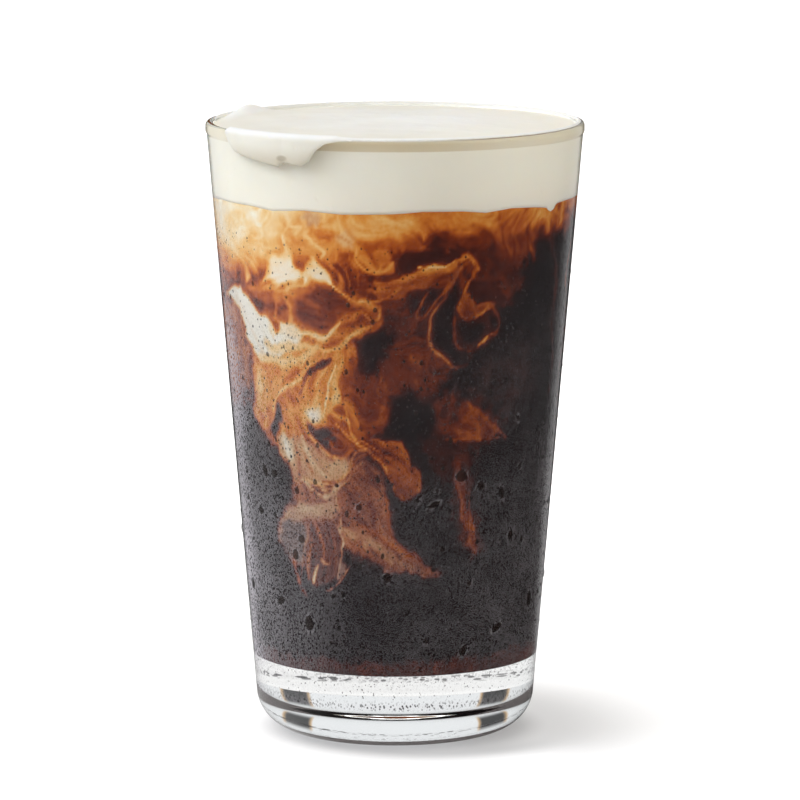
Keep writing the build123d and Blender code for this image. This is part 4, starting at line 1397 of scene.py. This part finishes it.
class COLDBREW_OT_mist(bpy.types.Operator):
    """Model the thin film of mist on the outside of the glass"""

    bl_idname = "coldbrew.mist"
    bl_label = "Make the mist"

    def execute(self, context):
        low, high, rows = 9.6 * MM, 124 * MM, 190
        heights = [low + (high - low) * k / rows for k in range(rows + 1)]
        rings = [(wall_outer(z) + 0.03 * MM, z) for z in heights]
        piece = lathe("mist_film", rings, 480, close_first=False, close_last=False)
        self.clear_round_drops(piece)
        finish_piece(piece, None, self.material())
        return {"FINISHED"}

    def clear_round_drops(self, piece):
        """Marks how much mist is left at every point, none under a drop, with a painted sheen added toward
        the sides of the glass.
        """
        co = vertices_of(piece) / MM
        bearing, height = np.degrees(bearing_of(co)), co[:, 2]
        radius = np.hypot(co[:, 0], co[:, 1])
        side = co[:, 0] / radius
        # Painted highlight and reflection: the pale film is made denser toward the left, where the key lamp
        # falls, and toward the left and right sides of the glass.
        mist_and_sheen = 0.014 + 0.036 * smooth((-side - 0.15) / 0.6) + 0.07 * smooth((-side - 0.68) / 0.22)
        mist_and_sheen += 0.023 * smooth((72 - height) / 22) + 0.01 * smooth((side - 0.4) / 0.3)
        mist_and_sheen += 0.28 * smooth((-side - 0.87) / 0.12) + 0.03 * smooth((side - 0.86) / 0.1)
        mist_and_sheen += 0.1 * smooth((side - 0.93) / 0.06)
        mist_and_sheen *= (1 - smooth((np.abs(side) - 0.97) / 0.025) * smooth((108 - height) / 8))
        mist_and_sheen = mist_and_sheen * (0.3 + 0.7 * smooth((118 - height) / 40))
        mist_and_sheen = mist_and_sheen * (0.35 + 0.65 * smooth((height - 15) / 3))
        # Painted shade: where dark dots go in the film, also in a band near the foot, standing in for how
        # dark the water drops look.
        drops = smooth((119 - height + 12 * side) / 22) * (0.25 + 0.75 * smooth((height - 14) / 5))
        line = smooth((11.7 - height) / 0.9) * smooth((height - 9.5) / 0.5)
        line = line * (0.4 + 0.6 * smooth(0.9 - np.abs(side)))
        drops = drops + 3.6 * line
        mist_and_sheen = mist_and_sheen + 0.1 * line
        for b, z, wide, tall, slant in all_drops():
            across = ((bearing - b + 180) % 360 - 180) * np.radians(1) * radius
            along = height - z
            s = math.radians(slant)
            u = (across * math.cos(s) + along * math.sin(s)) / wide
            v = (-across * math.sin(s) + along * math.cos(s)) / tall
            near = np.hypot(u, v)
            mist_and_sheen = mist_and_sheen * smooth((near - 0.8) / 0.2)
            drops = drops * smooth((near - 0.9) / 0.2)
            mist_and_sheen = mist_and_sheen + 0.1 * np.exp(-(((near - 1.12) / 0.14) ** 2))
        write_attribute(piece, "mist", mist_and_sheen)
        write_attribute(piece, "droplets", drops)

    def material(self):
        material, book = new_material("condensed_mist")
        place = book.place()
        dots = 1.0 - book.cells(book.stretch(place, (1, 1, 0.8)), 1850.0).step(0.32, 0.47)
        spots = 1.0 - book.cells(book.stretch(place, (1, 1, 0.7)), 620.0).step(0.13, 0.2)
        patchy = book.noise(place, 70.0, 3.0, 0.6).step(0.3, 0.7)
        strewn = book.noise(place, 420.0, 2.0, 0.6).step(0.18, 0.42)
        water = book.larger(dots * strewn, spots)
        # The 'mist' attribute carries painted sheen as well as mist: the film is denser toward the sides of
        # the glass and where the key lamp falls.
        haze = book.attribute("mist") * (patchy * 0.5 + 0.75) * 1.4
        # Painted shade: the dots are a dark, half-opaque colour given to clear water.
        dark = book.attribute("droplets") * (patchy * 0.14 + 0.17)
        alpha = (haze * (1.0 - water) + dark * water).clamp()
        tint = book.mix(water, srgb(230, 224, 229), srgb(27, 19, 21))
        film = book.add_wire(
            "ShaderNodeBsdfPrincipled",
            {},
            {"Base Color": tint, "Roughness": 0.9, "Specular IOR Level": 0.0, "Alpha": alpha},
        )
        book.surface(film)
        return material


class COLDBREW_OT_beads(bpy.types.Operator):
    """Scatter beads of water over the outside of the glass"""

    bl_idname = "coldbrew.beads"
    bl_label = "Make the beads"

    def execute(self, context):
        c = context.scene.cold_brew_condensation
        rng = random.Random(c.seed)
        material, book = new_material("water_beads_painted_dark")
        # Painted shade: the beads are painted dark brown and half opaque, standing in for how dark the drops
        # look; clear water has no such colour.
        water = book.add_wire(
            "ShaderNodeBsdfPrincipled",
            {},
            {"Base Color": srgb(36, 23, 20), "Roughness": 0.06, "Specular IOR Level": 0.5, "Alpha": 0.5},
        )
        book.surface(water)
        fine = []
        while len(fine) < c.fine_count:
            z = rng.uniform(12, 117)
            if rng.random() > 0.35 + 0.65 * min(1, (121 - z) / 30):
                continue
            size = (0.12 + 0.14 * rng.random() ** 2) * (0.7 if z < 19 else 1.0)
            fine.append((rng.uniform(-180, 180), z, size, size * rng.uniform(1.0, 1.5), 0.0))
        self.scatter("fine_beads", fine, 6, 2, material)
        beads = []
        while len(beads) < c.bead_count:
            z = rng.uniform(19, 108)
            size = 0.22 + 0.34 * rng.random() ** 3
            beads.append(
                (rng.uniform(-180, 180), z, size, size * rng.uniform(1.0, 1.7), rng.uniform(-12, 12))
            )
        self.scatter("beads", beads, 10, 4, material)
        self.scatter("large_drops", all_drops(), 20, 6, material)
        return {"FINISHED"}

    def scatter(self, name, places, segments, rings, material):
        """Copies one low dome to every place, flattened on the wall."""
        clear_selection()
        bpy.ops.mesh.primitive_uv_sphere_add(segments=segments, ring_count=rings * 2, radius=1.0)
        dome = bpy.context.object
        bpy.ops.object.mode_set(mode="EDIT")
        bpy.ops.mesh.select_all(action="SELECT")
        bpy.ops.mesh.bisect(plane_co=(0, 0, 0), plane_no=(0, 0, 1), clear_inner=True, use_fill=True)
        bpy.ops.object.mode_set(mode="OBJECT")
        base = np.array([v.co for v in dome.data.vertices])
        faces = [tuple(p.vertices) for p in dome.data.polygons]
        count = len(base)
        points, polygons = [], []
        lean = math.atan2(wall_outer(100 * MM) - wall_outer(0), 100 * MM)
        for bearing, z, wide, tall, slant in places:
            b, s = math.radians(bearing), math.radians(slant)
            out = np.array([math.sin(b) * math.cos(lean), -math.cos(b) * math.cos(lean), -math.sin(lean)])
            up = np.array([math.sin(b) * math.sin(lean), -math.cos(b) * math.sin(lean), math.cos(lean)])
            side = np.cross(up, out)
            u = base[:, 0] * wide
            v = base[:, 1] * tall
            v = np.where(v < 0, v * 0.9, v * 1.1)
            u = u * (1 - 0.18 * base[:, 1])
            w = base[:, 2] * min(wide, tall) * 0.3 - 0.02
            across = u * math.cos(s) - v * math.sin(s)
            along = u * math.sin(s) + v * math.cos(s)
            r = wall_outer(z * MM) / MM
            centre = np.array([r * math.sin(b), -r * math.cos(b), z])
            curve = (across ** 2) / (2 * r)
            spots = centre + across[:, None] * side + along[:, None] * up + (w - curve)[:, None] * out
            start = len(points) * count
            points.append(spots * MM)
            polygons += [tuple(i + start for i in f) for f in faces]
        bpy.data.objects.remove(dome, do_unlink=True)
        mesh = bpy.data.meshes.new(name)
        mesh.from_pydata(np.concatenate(points).tolist(), [], polygons)
        mesh.update()
        piece = bpy.data.objects.new(name, mesh)
        bpy.context.scene.collection.objects.link(piece)
        finish_piece(piece, None, material, angle=math.radians(60))


# --- stage -------------------------------------------------------------------


LAMPS = (  # name, place in metres, diameter, watts and colour
    ("key", (-0.79, -0.24, 0.57), 0.6, 3.6, (0.92, 0.99, 1.12)),
    ("side", (0.8, -0.5, 0.35), 0.6, 0.6, (1.0, 0.99, 0.95)),
    ("top", (-0.05, 0.05, 1.15), 0.8, 4.2, (1.0, 1.0, 1.0)),
)


class COLDBREW_OT_stage(bpy.types.Operator):
    """Set the pale floor, the soft light and the camera"""

    bl_idname = "coldbrew.stage"
    bl_label = "Make the stage"

    def execute(self, context):
        s = context.scene.cold_brew_stage
        scene = context.scene
        scene.view_settings.view_transform = "Standard"
        clear_selection()
        bpy.ops.mesh.primitive_plane_add(size=8, location=(0, 0, -0.0002))
        floor = context.object
        floor.name = "stage_floor"
        material, book = new_material("stage_floor")
        x, y = book.axes(book.place())[:2]
        reach = (x * x + y * y) ** 0.5
        matte = book.add_wire("ShaderNodeBsdfDiffuse", {}, {"Color": (0.93, 0.93, 0.93)})
        shade = book.add_wire("ShaderNodeBsdfDiffuse", {}, {"Color": (0.47, 0.46, 0.455)})
        camera_ray, through, bounced = self.rays(book)
        scattered = book.add_wire("ShaderNodeLightPath", {}, {}, "Diffuse Depth").clamp()
        # Painted shadow: the floor's glow is dimmed round the foot, more toward the right and back, so part
        # of the glass's shadow is painted into the floor; seen through the glass the floor is dimmed as well.
        aside = ((x - 0.008) * (x - 0.008) + y * y) ** 0.5
        painted_contact_shade = aside.step(0.0302, 0.042) * 0.45 + 0.29
        painted_cast_shadow = reach.step(0.028, 0.036) * 0.14 + reach.step(0.036, 0.07) * 0.31 + 0.29
        lean = ((x * 0.92 + y * 0.38) / reach).step(0.25, 0.75)
        near = painted_contact_shade + (painted_cast_shadow - painted_contact_shade) * lean
        strength = (near + reach.step(0.045, 0.3) * 0.3) * (1.0 - through * (1.0 - scattered) * 0.38)
        glow = book.glow("ShaderNodeEmission", (1, 1, 1), strength)
        lit = book.add_wire("ShaderNodeAddShader", {}, {0: shade, 1: glow})
        mirrored = book.glow("ShaderNodeEmission", (1, 1, 1), self.studio(book, x / reach, y / reach))
        seen = book.blend((camera_ray + through).clamp(), matte, lit)
        book.surface(book.blend(bounced, seen, mirrored))
        floor.data.materials.append(material)
        world = bpy.data.worlds.new("studio")
        scene.world = world
        world.use_nodes = True
        book = NodeBook(world.node_tree)
        x, y, z = book.axes(book.add_wire("ShaderNodeTexCoord", {}, {}, 0))
        side = book.size(x)
        strip = side.step(0.44, 0.48) * (1.0 - side.step(0.64, 0.7))
        stretch = y.step(0.0, 0.2) * (1.0 - z.step(0.22, 0.42))
        cards = strip * stretch
        camera_ray, through, bounced = self.rays(book)
        fill = book.glow("ShaderNodeBackground", (1, 0.975, 0.93), 0.53)
        white = book.glow("ShaderNodeBackground", (1, 1, 1), 1.0)
        edges = strip * (1.0 - strip) * stretch * 4.0
        tint = book.mix(edges, (0.97, 0.985, 1.0), (1.0, 0.72, 0.45))
        bright = book.glow("ShaderNodeBackground", tint, 0.93 - cards * 0.85)
        level = (x * x + y * y) ** 0.5
        mirrored = book.glow("ShaderNodeBackground", (1, 1, 1), self.studio(book, x / level, y / level))
        shader = book.blend(bounced, book.blend(through, fill, bright), mirrored)
        book.surface(book.blend(camera_ray, shader, white), "ShaderNodeOutputWorld")
        for name, place, size, power, colour in LAMPS:
            self.lamp(name, place, size, power, colour)
        camera = bpy.data.cameras.new("camera")
        eye = bpy.data.objects.new("camera", camera)
        scene.collection.objects.link(eye)
        eye.location = (0, -s.camera_distance, s.camera_height)
        eye.rotation_euler = (math.pi / 2 - s.camera_tilt, 0, 0)
        camera.lens = s.lens
        camera.sensor_width = 36.0
        camera.shift_x = 0.00625
        camera.clip_end = 50
        scene.camera = eye
        return {"FINISHED"}

    def rays(self, book):
        """Masks for rays from the camera, through glass and off a gloss."""
        path = book.add("ShaderNodeLightPath")
        camera_ray = book.wire(path, 0)
        through = book.wire(path, 6) * (1.0 - camera_ray)
        bounced = book.wire(path, 3) * (1.0 - book.wire(path, 6))
        return camera_ray, through, bounced

    def studio(self, book, side, back):
        """The room in a gloss: dim in front, pale to the left and behind, dark cards beside."""
        left = (side * -1.0).step(0.4, 1.05) * 0.5
        right = side.step(0.1, 0.7) * 0.04
        behind = (back - book.larger(side, 0.0) * 0.4).step(0.25, 0.7)
        across = book.size(side)
        cards = across.step(0.05, 0.09) * (1.0 - across.step(0.3, 0.42)) * back.step(0.0, 0.2)
        room = book.larger(left - right + 0.11, behind * 0.45)
        return room * (1.0 - cards * 0.8) * (1.0 - back.step(0.9, 0.97) * 0.93)

    def lamp(self, name, place, size, power, colour):
        lamp = bpy.data.lights.new(name, "AREA")
        lamp.shape = "DISK"
        lamp.size = size
        lamp.energy = power
        lamp.color = colour
        thing = bpy.data.objects.new(name, lamp)
        bpy.context.scene.collection.objects.link(thing)
        thing.location = place
        aim = Vector((0, 0, 0.07)) - Vector(place)
        thing.rotation_euler = aim.to_track_quat("-Z", "Y").to_euler()


# --- panel and registration --------------------------------------------------

STEPS = (
    COLDBREW_OT_glass,
    COLDBREW_OT_coffee,
    COLDBREW_OT_foam,
    COLDBREW_OT_mist,
    COLDBREW_OT_beads,
    COLDBREW_OT_stage,
)


class COLDBREW_PT_sidebar(bpy.types.Panel):
    """Sizes, colours and making of the cold brew coffee"""

    bl_label = "Cold brew coffee"
    bl_idname = "COLDBREW_PT_sidebar"
    bl_space_type = "VIEW_3D"
    bl_region_type = "UI"
    bl_category = "Cold brew"

    def draw(self, context):
        for name, group in GROUPS.items():
            box = self.layout.box()
            for key in group.__annotations__:
                box.prop(getattr(context.scene, name), key)
        for step in STEPS:
            self.layout.operator(step.bl_idname)


def register():
    for group in GROUPS.values():
        bpy.utils.register_class(group)
    for step in STEPS:
        bpy.utils.register_class(step)
    bpy.utils.register_class(COLDBREW_PT_sidebar)
    for name, group in GROUPS.items():
        setattr(bpy.types.Scene, name, bpy.props.PointerProperty(type=group))


def unregister():
    for name in GROUPS:
        delattr(bpy.types.Scene, name)
    bpy.utils.unregister_class(COLDBREW_PT_sidebar)
    for step in reversed(STEPS):
        bpy.utils.unregister_class(step)
    for group in reversed(list(GROUPS.values())):
        bpy.utils.unregister_class(group)


def main():
    """Makes every piece in order."""
    register()
    bpy.ops.coldbrew.glass()
    bpy.ops.coldbrew.coffee()
    bpy.ops.coldbrew.foam()
    bpy.ops.coldbrew.mist()
    bpy.ops.coldbrew.beads()
    bpy.ops.coldbrew.stage()


if __name__ == "__main__":
    main()
